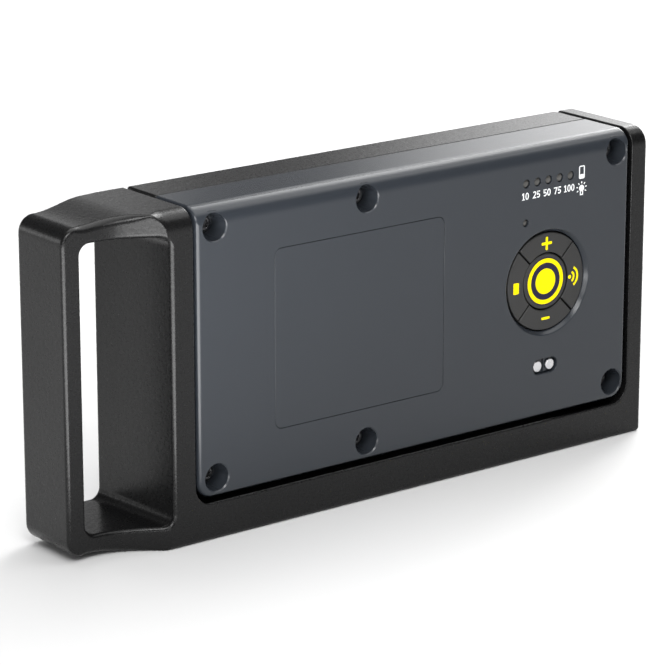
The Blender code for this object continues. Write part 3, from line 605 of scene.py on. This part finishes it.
# ---------------------------------------------------------------- head shells
def head_outline(sides, top, bottom, corner, sharp=SHARP_CORNER):
    low_x, high_x = HEAD_LEFT + sides, HEAD_RIGHT - sides
    sharp = max(sharp - sides, 0.2)
    return rounded(low_x, HEAD_BOTTOM + bottom, high_x, HEAD_TOP - top, (corner, sharp, sharp, corner))


def rim_chamfer(from_rim, wall):
    """How far the outside draws in close to its rim; the inside, where wall is not 0, has no chamfer."""
    return RIM_CHAMFER * max(0.0, 1 - from_rim / RIM_CHAMFER) if wall == 0 else 0.0


def cover_layer(y, wall):
    """Outline of the cover at y: the outside where wall is 0, or else the inside, a wall further in."""
    depth = y - REAR - wall
    side = round_inset(max(COVER_ROUND - wall / 2, 0.4), depth) + wall
    top = round_inset(TOP_ROUND - wall, depth) + wall
    rim = rim_chamfer(COVER_RIM - y, wall)
    return along_y(head_outline(side + rim, top + rim, side + rim, HEAD_CORNER - wall * 0.8), y)


def screw_centres():
    return [middle_of(low, high) for low, high in SCREWS]


def grown_circle(u, v, radius, sides):
    return lambda grow: circle(u, v, radius + grow, sides)


def contact_outline(grow):
    low, high = box_mm("contact_block")
    grow += 0.3
    half = (high.z - low.z) / 2 + grow
    return rounded(low.x - grow, low.z - grow, high.x + grow, high.z + grow, (half,) * 4, 16)


def label_outline(grow):
    return rounded(LABEL_LOW[0] - grow, LABEL_LOW[1] - grow, LABEL_HIGH[0] + grow, LABEL_HIGH[1] + grow,
                   (3.0 + grow,) * 4)


def make_cover():
    side_depths = edge_depths(COVER_ROUND, 8)
    top_depths = [depth for depth in edge_depths(TOP_ROUND, 16) if depth > COVER_ROUND + 0.1]
    fine = sorted(set(side_depths + top_depths))
    inner = edge_depths(TOP_ROUND - COVER_WALL, 4)
    rim_steps = [COVER_RIM - RIM_CHAMFER, COVER_RIM - 0.12, COVER_RIM]
    loops = [cover_layer(REAR + depth, 0.0) for depth in fine]
    loops += [cover_layer(y, 0.0) for y in rim_steps]
    loops.append(cover_layer(COVER_RIM, COVER_WALL))
    loops += [cover_layer(REAR + COVER_WALL + depth, COVER_WALL) for depth in reversed(inner)]
    cover = loft("cover_shell", loops, cover_plastic)

    bosses = bmesh.new()
    for x, z in screw_centres():
        add_turned(bosses, [(BOSS_START, BOSS_RADIUS), (SCREW_SEAT + 2.0, BOSS_RADIUS)], x, z, along_y, 48)
    for face, inward in ((HEAD_LEFT, 1), (HEAD_RIGHT, -1)):
        boss = [(face + inward * 1.2, 4.4), (face + inward * 5.8, 4.4)]
        add_turned(bosses, boss, PIVOT_Y, PIVOT_Z, along_x, 40)
    cut(cover, bosses, "UNION")

    holes = bmesh.new()
    for x, z in screw_centres():
        loops = mouth(grown_circle(x, z, SCREW_WELL, 64), REAR, REAR + 1.5, 0.4, steps=1)
        well_end = ((SCREW_WELL - 0.3, SCREW_SEAT), (SCREW_BORE, SCREW_SEAT), (SCREW_BORE, SCREW_SEAT + 3))
        loops += [along_y(circle(x, z, radius, 64), y) for radius, y in well_end]
        add_loft(holes, loops)
    for face, inward in ((HEAD_LEFT, 1), (HEAD_RIGHT, -1)):
        bore = [(face - inward, 3.6), (face + inward * 7, 3.6)]
        add_turned(holes, bore, PIVOT_Y, PIVOT_Z, along_x, 40)
    keypad = grown_circle(KEYPAD_X, KEYPAD_Z, KEYPAD_BORE, 128)
    slope = KEYPAD_RIM - KEYPAD_BORE
    bevel = ((slope + 0.45, -1.0), (slope + 0.45, -0.002), (slope + KEYPAD_LIP, 0.06),
             (slope - KEYPAD_LIP, 0.22), (KEYPAD_LIP, KEYPAD_BEVEL - KEYPAD_LIP), (0.0, KEYPAD_BEVEL + 0.1))
    loops = [along_y(keypad(grown), REAR + depth) for grown, depth in bevel]
    add_loft(holes, loops + [along_y(keypad(0.0), COVER_BACK)])
    for x in INDICATORS:
        hole = grown_circle(x, INDICATOR_Z, INDICATOR_HOLE, 40)
        add_loft(holes, mouth(hole, REAR, COVER_BACK, 0.25, steps=3))
    add_loft(holes, mouth(grown_circle(*STATUS, STATUS_HOLE, 40), REAR, COVER_BACK, 0.2, steps=3))
    add_loft(holes, mouth(contact_outline, REAR, COVER_BACK, 0.35, steps=4))
    cut(cover, holes)

    panel = bmesh.new()
    add_loft(panel, mouth(label_outline, REAR, REAR + 1.1, 0.14, steps=3))
    cut(cover, panel)
    soften(cover)
    finish_piece(cover, "head", "cover_plastic", "rear_cover")


def make_label():
    """Plate in the panel recess: only its fine edge shows, like the double line on the real lamp."""
    gap, edge, shift = 0.16, 0.14, 0.06

    def outline(inset):
        return [(u - shift, v) for u, v in label_outline(-inset)]

    loops = [along_y(outline(gap), REAR + 0.8)]
    for depth in reversed(edge_depths(edge, 3)):
        loops.append(along_y(outline(gap + round_inset(edge, depth)), REAR + depth))
    plate = loft("label_panel", loops, cover_plastic)
    soften(plate)
    finish_piece(plate, "head", "cover_plastic", "label_plate")


def housing_layer(y, wall):
    """Outline of the housing at y, outside or inside, as for the cover."""
    inset = round_inset(HOUSING_ROUND, FRONT - y) + wall + rim_chamfer(y - HOUSING_RIM, wall)
    return along_y(head_outline(inset + HOUSING_SIDE_STEP, inset, inset, HEAD_CORNER - wall * 0.8), y)


def window_outline(grow):
    low, high = box_mm("front_lens")
    grow += 0.3
    return rounded(low.x - grow, low.z - grow, high.x + grow, high.z + grow, (5.0 + grow,) * 4)


def make_housing():
    wall_y = FRONT - HOUSING_FACE
    loops = [housing_layer(FRONT - depth, 0.0) for depth in edge_depths(HOUSING_ROUND, 8)]
    loops += [housing_layer(HOUSING_RIM + step, 0.0) for step in (RIM_CHAMFER, 0.12, 0.0)]
    loops += [housing_layer(y, HOUSING_WALL) for y in (HOUSING_RIM, wall_y)]
    housing = loft("housing_shell", loops, frame_plastic)
    posts = bmesh.new()
    for x, z in screw_centres():
        add_turned(posts, [(SCREW_SEAT + 2.3, 3.4), (wall_y + 1, 3.4)], x, z, along_y, 32)
    cut(housing, posts, "UNION")
    holes = bmesh.new()
    for x, z in screw_centres():
        add_turned(holes, [(SCREW_SEAT + 1, SCREW_BORE), (3.0, SCREW_BORE)], x, z, along_y, 24)
    add_loft(holes, [along_y(window_outline(-WINDOW_LEDGE), y) for y in (wall_y - 1, FRONT + 1)])
    cut(housing, holes)
    rebate = bmesh.new()
    add_loft(rebate, mouth(window_outline, FRONT, FRONT - 3.2, 0.6, inward=-1))
    cut(housing, rebate)
    soften(housing)
    finish_piece(housing, "head", "housing_plastic", "front_housing")


# ---------------------------------------------------------------- keys and their marks
def key_outline(middle_angle, inset):
    """Quarter of the ring of keys: two arcs joined by sides parallel to the diagonals."""
    outer, inner = KEY_OUTER - inset, KEY_INNER + inset
    outer_half = 45 - math.degrees(math.asin((KEY_SLOT / 2 + inset) / outer))
    inner_half = 45 - math.degrees(math.asin((KEY_SLOT / 2 + inset) / inner))
    points = arc(KEYPAD_X, KEYPAD_Z, outer, middle_angle - outer_half, middle_angle + outer_half, 40)
    return points + arc(KEYPAD_X, KEYPAD_Z, inner, middle_angle + inner_half, middle_angle - inner_half, 28)


def key_loops(outline_at, face, back, edge):
    loops = [along_y(outline_at(round_inset(edge, depth)), face + depth) for depth in edge_depths(edge, 6)]
    return loops + [along_y(outline_at(0.0), back)]


def make_keys():
    """Ring keys and power key with softly rounded edges."""
    ring = (("wireless", 0), ("plus", 90), ("battery", 180), ("minus", 270))
    for name, angle in ring:
        low, high = box_mm(name + "_button")
        loops = key_loops(lambda inset, at=angle: key_outline(at, inset), low.y, high.y, 0.45)
        key = loft(name + "_keycap", loops, key_rubber, 40)
        soften(key, 40)
        finish_piece(key, name + "_key", "key_rubber", name + "_button")
    power_outline = grown_circle(KEYPAD_X, KEYPAD_Z, (power_high.x - power_low.x) / 2, 96)
    loops = key_loops(lambda inset: power_outline(-inset), power_low.y, power_high.y, 0.5)
    key = loft("power_keycap", loops, key_rubber, 40)
    soften(key, 40)
    finish_piece(key, "power_key", "key_rubber", "power_button")


PRINT_HEIGHT = 0.04


def printed(name, shapes, face, ink, body, slot="key_rubber"):
    """Thin raised print: each shape is an outline in X and Z, or a pair of them for a ring."""
    bm = bmesh.new()
    for shape in shapes:
        if isinstance(shape[0], tuple):
            add_loft(bm, [along_y(shape, face - PRINT_HEIGHT), along_y(shape, face + 0.02)])
            continue
        outer, inner = shape
        rows = []
        for outline, y in ((outer, face - PRINT_HEIGHT), (outer, face + 0.02), (inner, face + 0.02),
                           (inner, face - PRINT_HEIGHT)):
            rows.append([bm.verts.new(Vector(point) * MM) for point in along_y(outline, y)])
        for row, following in zip(rows, rows[1:] + rows[:1]):
            for i, corner in enumerate(row):
                j = (i + 1) % len(row)
                bm.faces.new((corner, row[j], following[j], following[i]))
    piece = make_object(bm, name, ink)
    finish_piece(piece, body, slot)


def bar(u, v, width, height, corner=0.3):
    half_width, half_height = width / 2, height / 2
    return rounded(u - half_width, v - half_height, u + half_width, v + half_height, (corner,) * 4, 5)


def cross(u, v, size, weight):
    """Plus sign with slightly rounded ends, as one outline."""
    end, half, cut_corner = size / 2, weight / 2, weight * 0.22
    quarter = [(half, half), (half, end - cut_corner), (half - cut_corner, end),
               (cut_corner - half, end), (-half, end - cut_corner)]
    points = []
    for turn in range(4):
        c, s = round(math.cos(math.pi / 2 * turn)), round(math.sin(math.pi / 2 * turn))
        points += [(u + c * a - s * b, v + s * a + c * b) for a, b in quarter]
    return points


def stroke(u, v, angle, start, end, width):
    """Straight mark that points away from (u, v)."""
    direction = Vector((math.cos(angle), math.sin(angle)))
    side = Vector((-direction.y, direction.x)) * width / 2
    middle = Vector((u, v))
    corners = [middle + direction * start - side, middle + direction * end - side,
               middle + direction * end + side, middle + direction * start + side]
    return [tuple(corner) for corner in corners]


def band(u, v, radius, width, start, end):
    """Arc-shaped mark."""
    outer = arc(u, v, radius + width / 2, start, end, 20)
    return outer + arc(u, v, radius - width / 2, end, start, 20)


def make_key_marks():
    power_face = power_low.y

    def ring(outer, inner):
        return [circle(KEYPAD_X, KEYPAD_Z, radius, 96) for radius in (outer, inner)]

    disc = circle(KEYPAD_X, KEYPAD_Z, 4.8, 72)
    printed("power_mark", [ring(8.6, 7.0), disc], power_face, yellow_ink, "power_key")
    printed("power_ground", [ring(9.1, 8.65), ring(6.95, 4.85)], power_face, navy_ink, "power_key")
    plus = cross(KEYPAD_X + 0.1, KEYPAD_Z + 14.35, 5.0, 1.05)
    printed("plus_mark", [plus], KEY_FACE, yellow_ink, "plus_key")
    minus = bar(KEYPAD_X + 0.1, KEYPAD_Z - 14.0, 4.0, 0.95, 0.3)
    printed("minus_mark", [minus], KEY_FACE, yellow_ink, "minus_key")
    cell = bar(KEYPAD_X - 14.4, KEYPAD_Z - 0.45, 2.6, 4.2, 0.35)
    printed("battery_mark", [cell], KEY_FACE, yellow_ink, "battery_key")
    wave_x, wave_z = KEYPAD_X + 11.6, KEYPAD_Z - 0.2
    waves = [circle(wave_x, wave_z, 0.72, 24)]
    waves += [band(wave_x, wave_z, radius, 0.85, -60, 60) for radius in (2.0, 3.8)]
    printed("wireless_mark", waves, KEY_FACE, yellow_ink, "wireless_key")


def ribbon(path, width):
    """Outline of a stroke of even width along a path, with square ends and mitred corners."""
    left, right = [], []
    for i, (u, v) in enumerate(path):
        before = Vector(path[max(i - 1, 0)])
        after = Vector(path[min(i + 1, len(path) - 1)])
        here = Vector((u, v))
        into = (here - before).normalized() if i else (after - here).normalized()
        out = (after - here).normalized() if i < len(path) - 1 else into
        normal_in, normal_out = Vector((-into.y, into.x)), Vector((-out.y, out.x))
        middle = (normal_in + normal_out).normalized()
        reach = width / 2 / max(middle.dot(normal_in), 0.45)
        left.append(tuple(here + middle * reach))
        right.append(tuple(here - middle * reach))
    return left + right[::-1]


def ellipse(u, v, radius_u, radius_v, sides=40):
    return [(u + radius_u * c, v + radius_v * s) for c, s in circle(0, 0, 1, sides)]


def digit(name, u, v, height, weight):
    """Shapes of one bold digit; u is its left edge, v its foot. Returns (shapes, width)."""
    half = weight / 2
    if name == "1":
        width = height * 0.52
        stem, foot_top = u + width * 0.5, v + weight * 0.75
        outline = [(stem - half, foot_top), (u, foot_top), (u, v), (u + width, v), (u + width, foot_top),
                   (stem + half, foot_top), (stem + half, v + height), (stem - half * 0.8, v + height),
                   (u, v + height * 0.86), (u, v + height * 0.70), (stem - half, v + height * 0.76)]
        return [outline], width
    width = height * 0.62
    middle = u + width / 2
    if name == "0":
        outer = ellipse(middle, v + height / 2, width / 2, height / 2 * 1.03)
        inner = ellipse(middle, v + height / 2, width / 2 - weight, height / 2 - weight * 0.8)
        return [[outer, inner]], width
    if name == "7":
        path = [(u, v + height - half), (u + width - half, v + height - half), (u + width * 0.36, v)]
        return [ribbon(path, weight)], width
    if name == "2":
        bowl = arc(middle - half * 0.2, v + height * 0.70, width / 2 - half, 160, -25, 12)
        path = bowl + [(u + half * 0.9, v + half), (u + width, v + half)]
        return [ribbon(path, weight)], width
    bowl = arc(middle - half * 0.3, v + height * 0.315, width / 2 - half * 0.9, 128, -140, 16)
    path = [(u + width * 0.95, v + height - half), (u + half * 1.3, v + height - half),
            (u + half * 1.3, v + height * 0.56)] + bowl
    return [ribbon(path, weight)], width


def number_shapes(text, centre, foot, height=2.6, weight=0.42, space=0.22):
    widths = [digit(letter, 0, 0, height, weight)[1] for letter in text]
    at = centre - (sum(widths) + space * (len(text) - 1)) / 2
    shapes = []
    for letter, width in zip(text, widths):
        shapes += digit(letter, at, foot, height, weight)[0]
        at += width + space
    return shapes


def make_scale_print():
    """White scale on the cover: plain numbers, a battery symbol and a lamp symbol."""
    icon_x, battery_z, bulb_z = 94.0, 105.45, 99.45
    outline = [bar(icon_x, battery_z, 2.8, 4.9, 0.6), bar(icon_x, battery_z + 0.62, 1.9, 2.8, 0.12)]
    shapes = [outline, circle(icon_x, bulb_z, 1.22, 32)]
    shapes.append(ribbon([(icon_x - 0.55, bulb_z - 1.1), (icon_x - 0.55, bulb_z - 2.4),
                          (icon_x + 0.55, bulb_z - 2.4), (icon_x + 0.55, bulb_z - 1.1)], 0.42))
    for angle in (-29, 12, 51, 90, 129, 168, 209):
        shapes.append(stroke(icon_x, bulb_z, math.radians(angle), 1.8, 2.55, 0.42))
    for number, x in (("10", 66.8), ("25", 72.1), ("50", 77.15), ("75", 82.2), ("100", 87.95)):
        shapes += number_shapes(number, x, 99.05)
    printed("scale_print", shapes, REAR, white_ink, "head", "cover_plastic")


# ---------------------------------------------------------------- small parts of the control side
def dome(bm, u, v, radius, crown, skirt, height, sides=32):
    """Domed pin: crown is how far the top stands over its shoulder at skirt."""
    profile = []
    for i in range(8):
        angle = math.pi / 2 * (i + 0.4) / 7.4
        profile.append((skirt - crown * math.cos(angle), radius * math.sin(angle)))
    add_turned(bm, profile + [(skirt + height, radius)], u, v, along_y, sides)


def make_indicators():
    low, high = box_mm("indicator_light_guide")
    guide_rear = REAR + COVER_WALL + 0.3
    bm = bmesh.new()
    add_loft(bm, [along_y(bar((low.x + high.x) / 2, INDICATOR_Z, high.x - low.x, 5.2, 0.6), y)
                  for y in (guide_rear, high.y)])
    for x in INDICATORS:
        dome(bm, x, INDICATOR_Z, INDICATOR_HOLE - 0.08, 0.6, REAR + 0.85, 2.0)
    guide = make_object(bm, "scale_lenses", lens_grey)
    finish_piece(guide, "head", "smoked_lens", "indicator_light_guide")
    bm = bmesh.new()
    shoulder = REAR + 1.15
    lens_back = box_mm("status_lens")[1].y
    dome(bm, *STATUS, STATUS_HOLE - 0.12, 0.6, shoulder, lens_back - shoulder)
    lens = make_object(bm, "status_dome", lens_grey)
    finish_piece(lens, "head", "smoked_lens", "status_lens")


def star(u, v, radius, wave, points=6, sides=72):
    outline = []
    for i in range(sides):
        angle = 2 * math.pi * i / sides
        reach = radius + wave * math.cos(points * angle)
        outline.append((u + reach * math.cos(angle), v + reach * math.sin(angle)))
    return outline


SCREW_CROWN, SCREW_HEAD, SCREW_SHANK = 1.9, 3.0, 1.5  # radii; the crown is the head's flat middle


def make_screws():
    """Pan-head screws with a six-lobed socket, deep in the cover's wells."""
    for number, (low, high) in enumerate(SCREWS, start=1):
        x, z = middle_of(low, high)
        top, under_head = low.y, low.y + 2.0
        profile = [(top, SCREW_CROWN)]
        for i in range(1, 7):
            angle = math.pi / 2 * i / 6
            profile.append((top + 1.15 * (1 - math.cos(angle)),
                            SCREW_CROWN + (SCREW_HEAD - SCREW_CROWN) * math.sin(angle)))
        profile += [(under_head - 0.1, SCREW_HEAD), (under_head, SCREW_HEAD - 0.1),
                    (under_head, SCREW_SHANK), (high.y, SCREW_SHANK)]
        bm = bmesh.new()
        add_turned(bm, profile, x, z, along_y, 48)
        screw = make_object(bm, f"pan_screw_{number}", screw_steel)
        socket = bmesh.new()
        add_loft(socket, [along_y(star(x, z, radius, 0.2), top + depth)
                          for radius, depth in ((1.55, -1.0), (1.55, 0.0), (1.35, 0.2), (1.3, 1.3))])
        cut(screw, socket)
        soften(screw)
        finish_piece(screw, "head", "screw_steel", f"cover_screw_{number}")


def make_contacts():
    """Two plated contacts with a crisp rim and a shallow dish, in a block with a groove between them."""
    low, high = box_mm("contact_block")
    middle_x, middle_z = middle_of(low, high)
    block = loft("contact_plate", [along_y(contact_outline(-0.3), y) for y in (low.y, high.y)], cover_plastic)
    cuts = bmesh.new()
    add_loft(cuts, [along_y(bar(middle_x, middle_z, 0.7, 5.0, 0.1), y) for y in (low.y - 1, low.y + 1.4)])
    for contact_low, contact_high in CONTACTS:
        x, z = middle_of(contact_low, contact_high)
        bore = (contact_high.x - contact_low.x) / 2 - 0.45
        add_turned(cuts, [(low.y - 1, bore), (high.y + 1, bore)], x, z, along_y, 32)
    cut(block, cuts)
    soften(block)
    finish_piece(block, "head", "housing_plastic", "contact_block")
    for number, (low, high) in enumerate(CONTACTS, start=1):
        x, z = middle_of(low, high)
        radius = (high.x - low.x) / 2
        profile = [(low.y + 0.12, 0.3), (low.y + 0.10, radius * 0.55), (low.y + 0.04, radius * 0.78),
                   (low.y, radius * 0.88), (low.y + 0.03, radius * 0.94), (low.y + 0.12, radius * 0.985),
                   (low.y + 0.25, radius), (low.y + 0.6, radius), (low.y + 0.6, 1.45), (high.y, 1.45)]
        bm = bmesh.new()
        add_turned(bm, profile, x, z, along_y, 56)
        contact = make_object(bm, f"contact_{number}", contact_metal, 50)
        finish_piece(contact, "head", "contact_metal", f"charging_contact_{number}")


# ---------------------------------------------------------------- light side
def cup_centres():
    low, high = box_mm("reflector")
    low_x, high_x = low.x - 0.3, high.x + 0.3
    low_z, high_z = low.z - 0.3, high.z + 0.3
    pitch_x, pitch_z = (high_x - low_x) / 8, (high_z - low_z) / 4
    return [(low_x + pitch_x * (column + 0.5), low_z + pitch_z * (row + 0.5))
            for column in range(8) for row in range(4)]


def superellipse(u, v, half, power, sides=48):
    """Square with very round corners; a power of 2 is a circle."""
    outline = []
    for i in range(sides):
        angle = 2 * math.pi * (i + 0.5) / sides
        c, s = math.cos(angle), math.sin(angle)
        reach = half / (abs(c) ** power + abs(s) ** power) ** (1 / power)
        outline.append((u + reach * c, v + reach * s))
    return outline


def make_reflector():
    """White plate whose cups open like bowls from a round throat to a soft square mouth."""
    low, high = box_mm("reflector")
    outline = rounded(low.x, low.z, high.x, high.z, (3.2,) * 4)
    top = high.y
    plate = loft("cup_plate", [along_y(outline, low.y), along_y(outline, top)], reflector_white)
    cups = bmesh.new()
    throat, widest = 2.3, 9.6
    throat_y = low.y + 0.8
    depth = top - throat_y
    for x, z in cup_centres():
        loops = [along_y(superellipse(x, z, throat, 2.0), y) for y in (low.y - 1, throat_y)]
        for i in range(1, 9):
            share = i / 8
            half = throat + (widest - throat) * math.sqrt(share) * (0.55 + 0.45 * share)
            loops.append(along_y(superellipse(x, z, half, 2.0 + 3.5 * share), throat_y + depth * share))
        loops.append(along_y(superellipse(x, z, 9.9, 5.5), top + 1))
        add_loft(cups, loops)
    cut(plate, cups)
    soften(plate, 40)
    finish_piece(plate, "head", "reflector_plastic", "reflector")


def make_leds():
    """Square phosphor tile of each LED, with a chamfered edge, at the bottom of its cup."""
    face = box_mm("led_board")[1].y
    phosphor = bmesh.new()
    for x, z in cup_centres():
        add_loft(phosphor, [along_y(bar(x, z, side, side, 0.5), face + height)
                            for side, height in ((2.5, -0.1), (2.5, 0.05), (2.3, 0.14))])
    piece = make_object(phosphor, "led_phosphor", led_phosphor)
    finish_piece(piece, "head", "led_board_white")


def make_window():
    low, high = box_mm("front_lens")
    edge, corner = 0.4, 4.7
    layers = [(high.y - depth, round_inset(edge, depth)) for depth in edge_depths(edge, 4)] + [(low.y, 0.0)]
    loops = [along_y(rounded(low.x + inset, low.z + inset, high.x - inset, high.z - inset, (corner,) * 4), y)
             for y, inset in layers]
    window = loft("window", loops, window_clear)
    soften(window)
    finish_piece(window, "head", "clear_window", "front_lens")


make_frame_shell()
make_cover()
make_label()
make_housing()
make_keys()
make_key_marks()
make_scale_print()
make_indicators()
make_screws()
make_contacts()
make_reflector()
make_leds()
make_window()

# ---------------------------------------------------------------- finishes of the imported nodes
FINISHES = {
    "brass_insert": brass, "screw_steel": screw_steel, "washer_plastic": washer_plastic,
    "bush_bronze": bronze, "cover_plastic": cover_plastic, "housing_plastic": frame_plastic,
    "frame_plastic": frame_plastic, "seal_rubber": seal_rubber, "clear_window": window_clear,
    "reflector_plastic": reflector_white, "led_board_white": board_white, "heat_sink_metal": heat_sink_metal,
    "smoked_lens": lens_grey, "contact_metal": contact_metal, "switch_plastic": switch_plastic,
    "circuit_board": board_green, "battery_cell": cell_sleeve, "key_rubber": key_rubber,
}
for part in frame["record"]["subparts"]:
    node = frame["nodes"][part["node"]]
    node.data.materials.clear()
    node.data.materials.append(FINISHES[part["material_slot"]])

# ---------------------------------------------------------------- floor, light and camera
FLOOR_GLOW_REACH = (0.9, 2.6)  # metres from the middle between which the far floor brightens
FLOOR_GLOW = 0.75
floor_bm = bmesh.new()
bmesh.ops.create_circle(floor_bm, cap_ends=True, segments=96, radius=6.0)
floor_nodes = Nodes("floor_paper")
floor_nodes.link(floor_nodes.colours(floor_nodes.noise(3.0), (0.67, 0.67, 0.67), (0.69, 0.69, 0.69)),
                 floor_nodes.shader.inputs["Base Color"])
floor_reach = floor_nodes.add_node("VectorMath")
floor_reach.operation = "LENGTH"
floor_nodes.link(floor_nodes.place, floor_reach.inputs[0])
far_floor = floor_nodes.add_node("MapRange", From_Min=FLOOR_GLOW_REACH[0], From_Max=FLOOR_GLOW_REACH[1],
                                 To_Max=FLOOR_GLOW)
far_floor.interpolation_type = "SMOOTHSTEP"
floor_nodes.link(floor_reach.outputs["Value"], far_floor.inputs["Value"])
floor_nodes.link(far_floor.outputs["Result"], floor_nodes.shader.inputs["Emission Strength"])
floor_nodes.set(Roughness=0.9, Emission_Color=(1.0, 1.0, 1.0, 1.0))
floor = make_object(floor_bm, "floor", floor_nodes.material)

world = bpy.data.worlds.new("studio")
world.use_nodes = True
sky_tree = world.node_tree
sky_place = sky_tree.nodes.new("ShaderNodeTexCoord")
sky_axes = sky_tree.nodes.new("ShaderNodeSeparateXYZ")
sky_ramp = sky_tree.nodes.new("ShaderNodeValToRGB")
sky_tree.links.new(sky_place.outputs["Generated"], sky_axes.inputs["Vector"])
sky_tree.links.new(sky_axes.outputs["Z"], sky_ramp.inputs["Fac"])
sky_tree.links.new(sky_ramp.outputs["Color"], sky_tree.nodes["Background"].inputs["Color"])
sky_ramp.color_ramp.elements[0].position = 0.04
sky_ramp.color_ramp.elements[0].color = (0.8, 0.8, 0.8, 1.0)
sky_ramp.color_ramp.elements[1].position = 0.14
sky_ramp.color_ramp.elements[1].color = (0.10, 0.10, 0.102, 1.0)
for height, level in ((0.6, 0.08), (1.0, 0.35)):
    higher = sky_ramp.color_ramp.elements.new(height)
    higher.color = (level, level, level, 1.0)
bpy.context.scene.world = world


def soft_light(name, place, aim, size, radiance):
    """Area light that looks equally bright at any size: radiance 1 is as bright as white paper."""
    lamp = bpy.data.lights.new(name, "AREA")
    lamp.shape = "RECTANGLE"
    lamp.size, lamp.size_y = size
    lamp.energy = radiance * math.pi * size[0] * size[1]
    made = bpy.data.objects.new(name, lamp)
    made.location = place
    made.visible_camera = False
    made.rotation_euler = (Vector(aim) - Vector(place)).to_track_quat("-Z", "Y").to_euler()
    bpy.context.scene.collection.objects.link(made)


CENTRE = (0.0, 0.0, 0.06)
# Overlapping cards, so that the sheen on the top brightens in steps towards the right.
STEP_CARD_REACH, STEP_CARD_HEIGHT = 1.73, 0.74
STEP_CARD_START, STEP_CARD_TURN = 44.4, 1.5
soft_light("overhead_light", (0.45, 0.15, 1.5), (0.35, 0.1, 0.0), (2.1, 1.5), 2.5)
for step in range(5):
    turn = math.radians(STEP_CARD_START - STEP_CARD_TURN * step)
    place = (STEP_CARD_REACH * math.cos(turn), STEP_CARD_REACH * math.sin(turn), STEP_CARD_HEIGHT)
    soft_light(f"right_back_step_{step}", place, CENTRE, (0.44, 1.15), 0.52)
soft_light("right_back_light", (1.54, 0.84, 0.60), CENTRE, (0.66, 0.9), 11.0)
soft_light("right_high_light", (0.86, 0.42, 1.02), CENTRE, (0.45, 0.40), 6.0)
soft_light("back_light", (0.76, 1.63, 0.50), CENTRE, (0.50, 0.45), 0.8)
soft_light("left_back_light", (-0.75, 1.0, 0.26), CENTRE, (0.45, 0.22), 3.0)
soft_light("left_low_light", (-0.98, -0.74, 0.30), CENTRE, (0.26, 0.5), 6.0)
soft_light("left_front_light", (-0.58, -0.66, 0.86), (-0.22, -0.16, 0.0), (0.50, 0.40), 11.0)
soft_light("front_light", (-0.30, -1.0, 1.0), CENTRE, (0.60, 0.50), 6.0)
soft_light("floor_glow", (-0.37, -0.27, 0.003), (-0.37, -0.27, 1.0), (0.50, 0.38), 10.0)

camera = bpy.data.cameras.new("camera")
camera.sensor_width = 36.0
camera.lens = 178.3
camera_object = bpy.data.objects.new("camera", camera)
camera_object.location = (-0.6980, -0.8885, 0.3842)
camera_object.rotation_euler = Vector((0.5906, 0.7573, -0.2786)).to_track_quat("-Z", "Y").to_euler()
bpy.context.scene.collection.objects.link(camera_object)
bpy.context.scene.camera = camera_object
bpy.context.scene.view_settings.view_transform = "Standard"
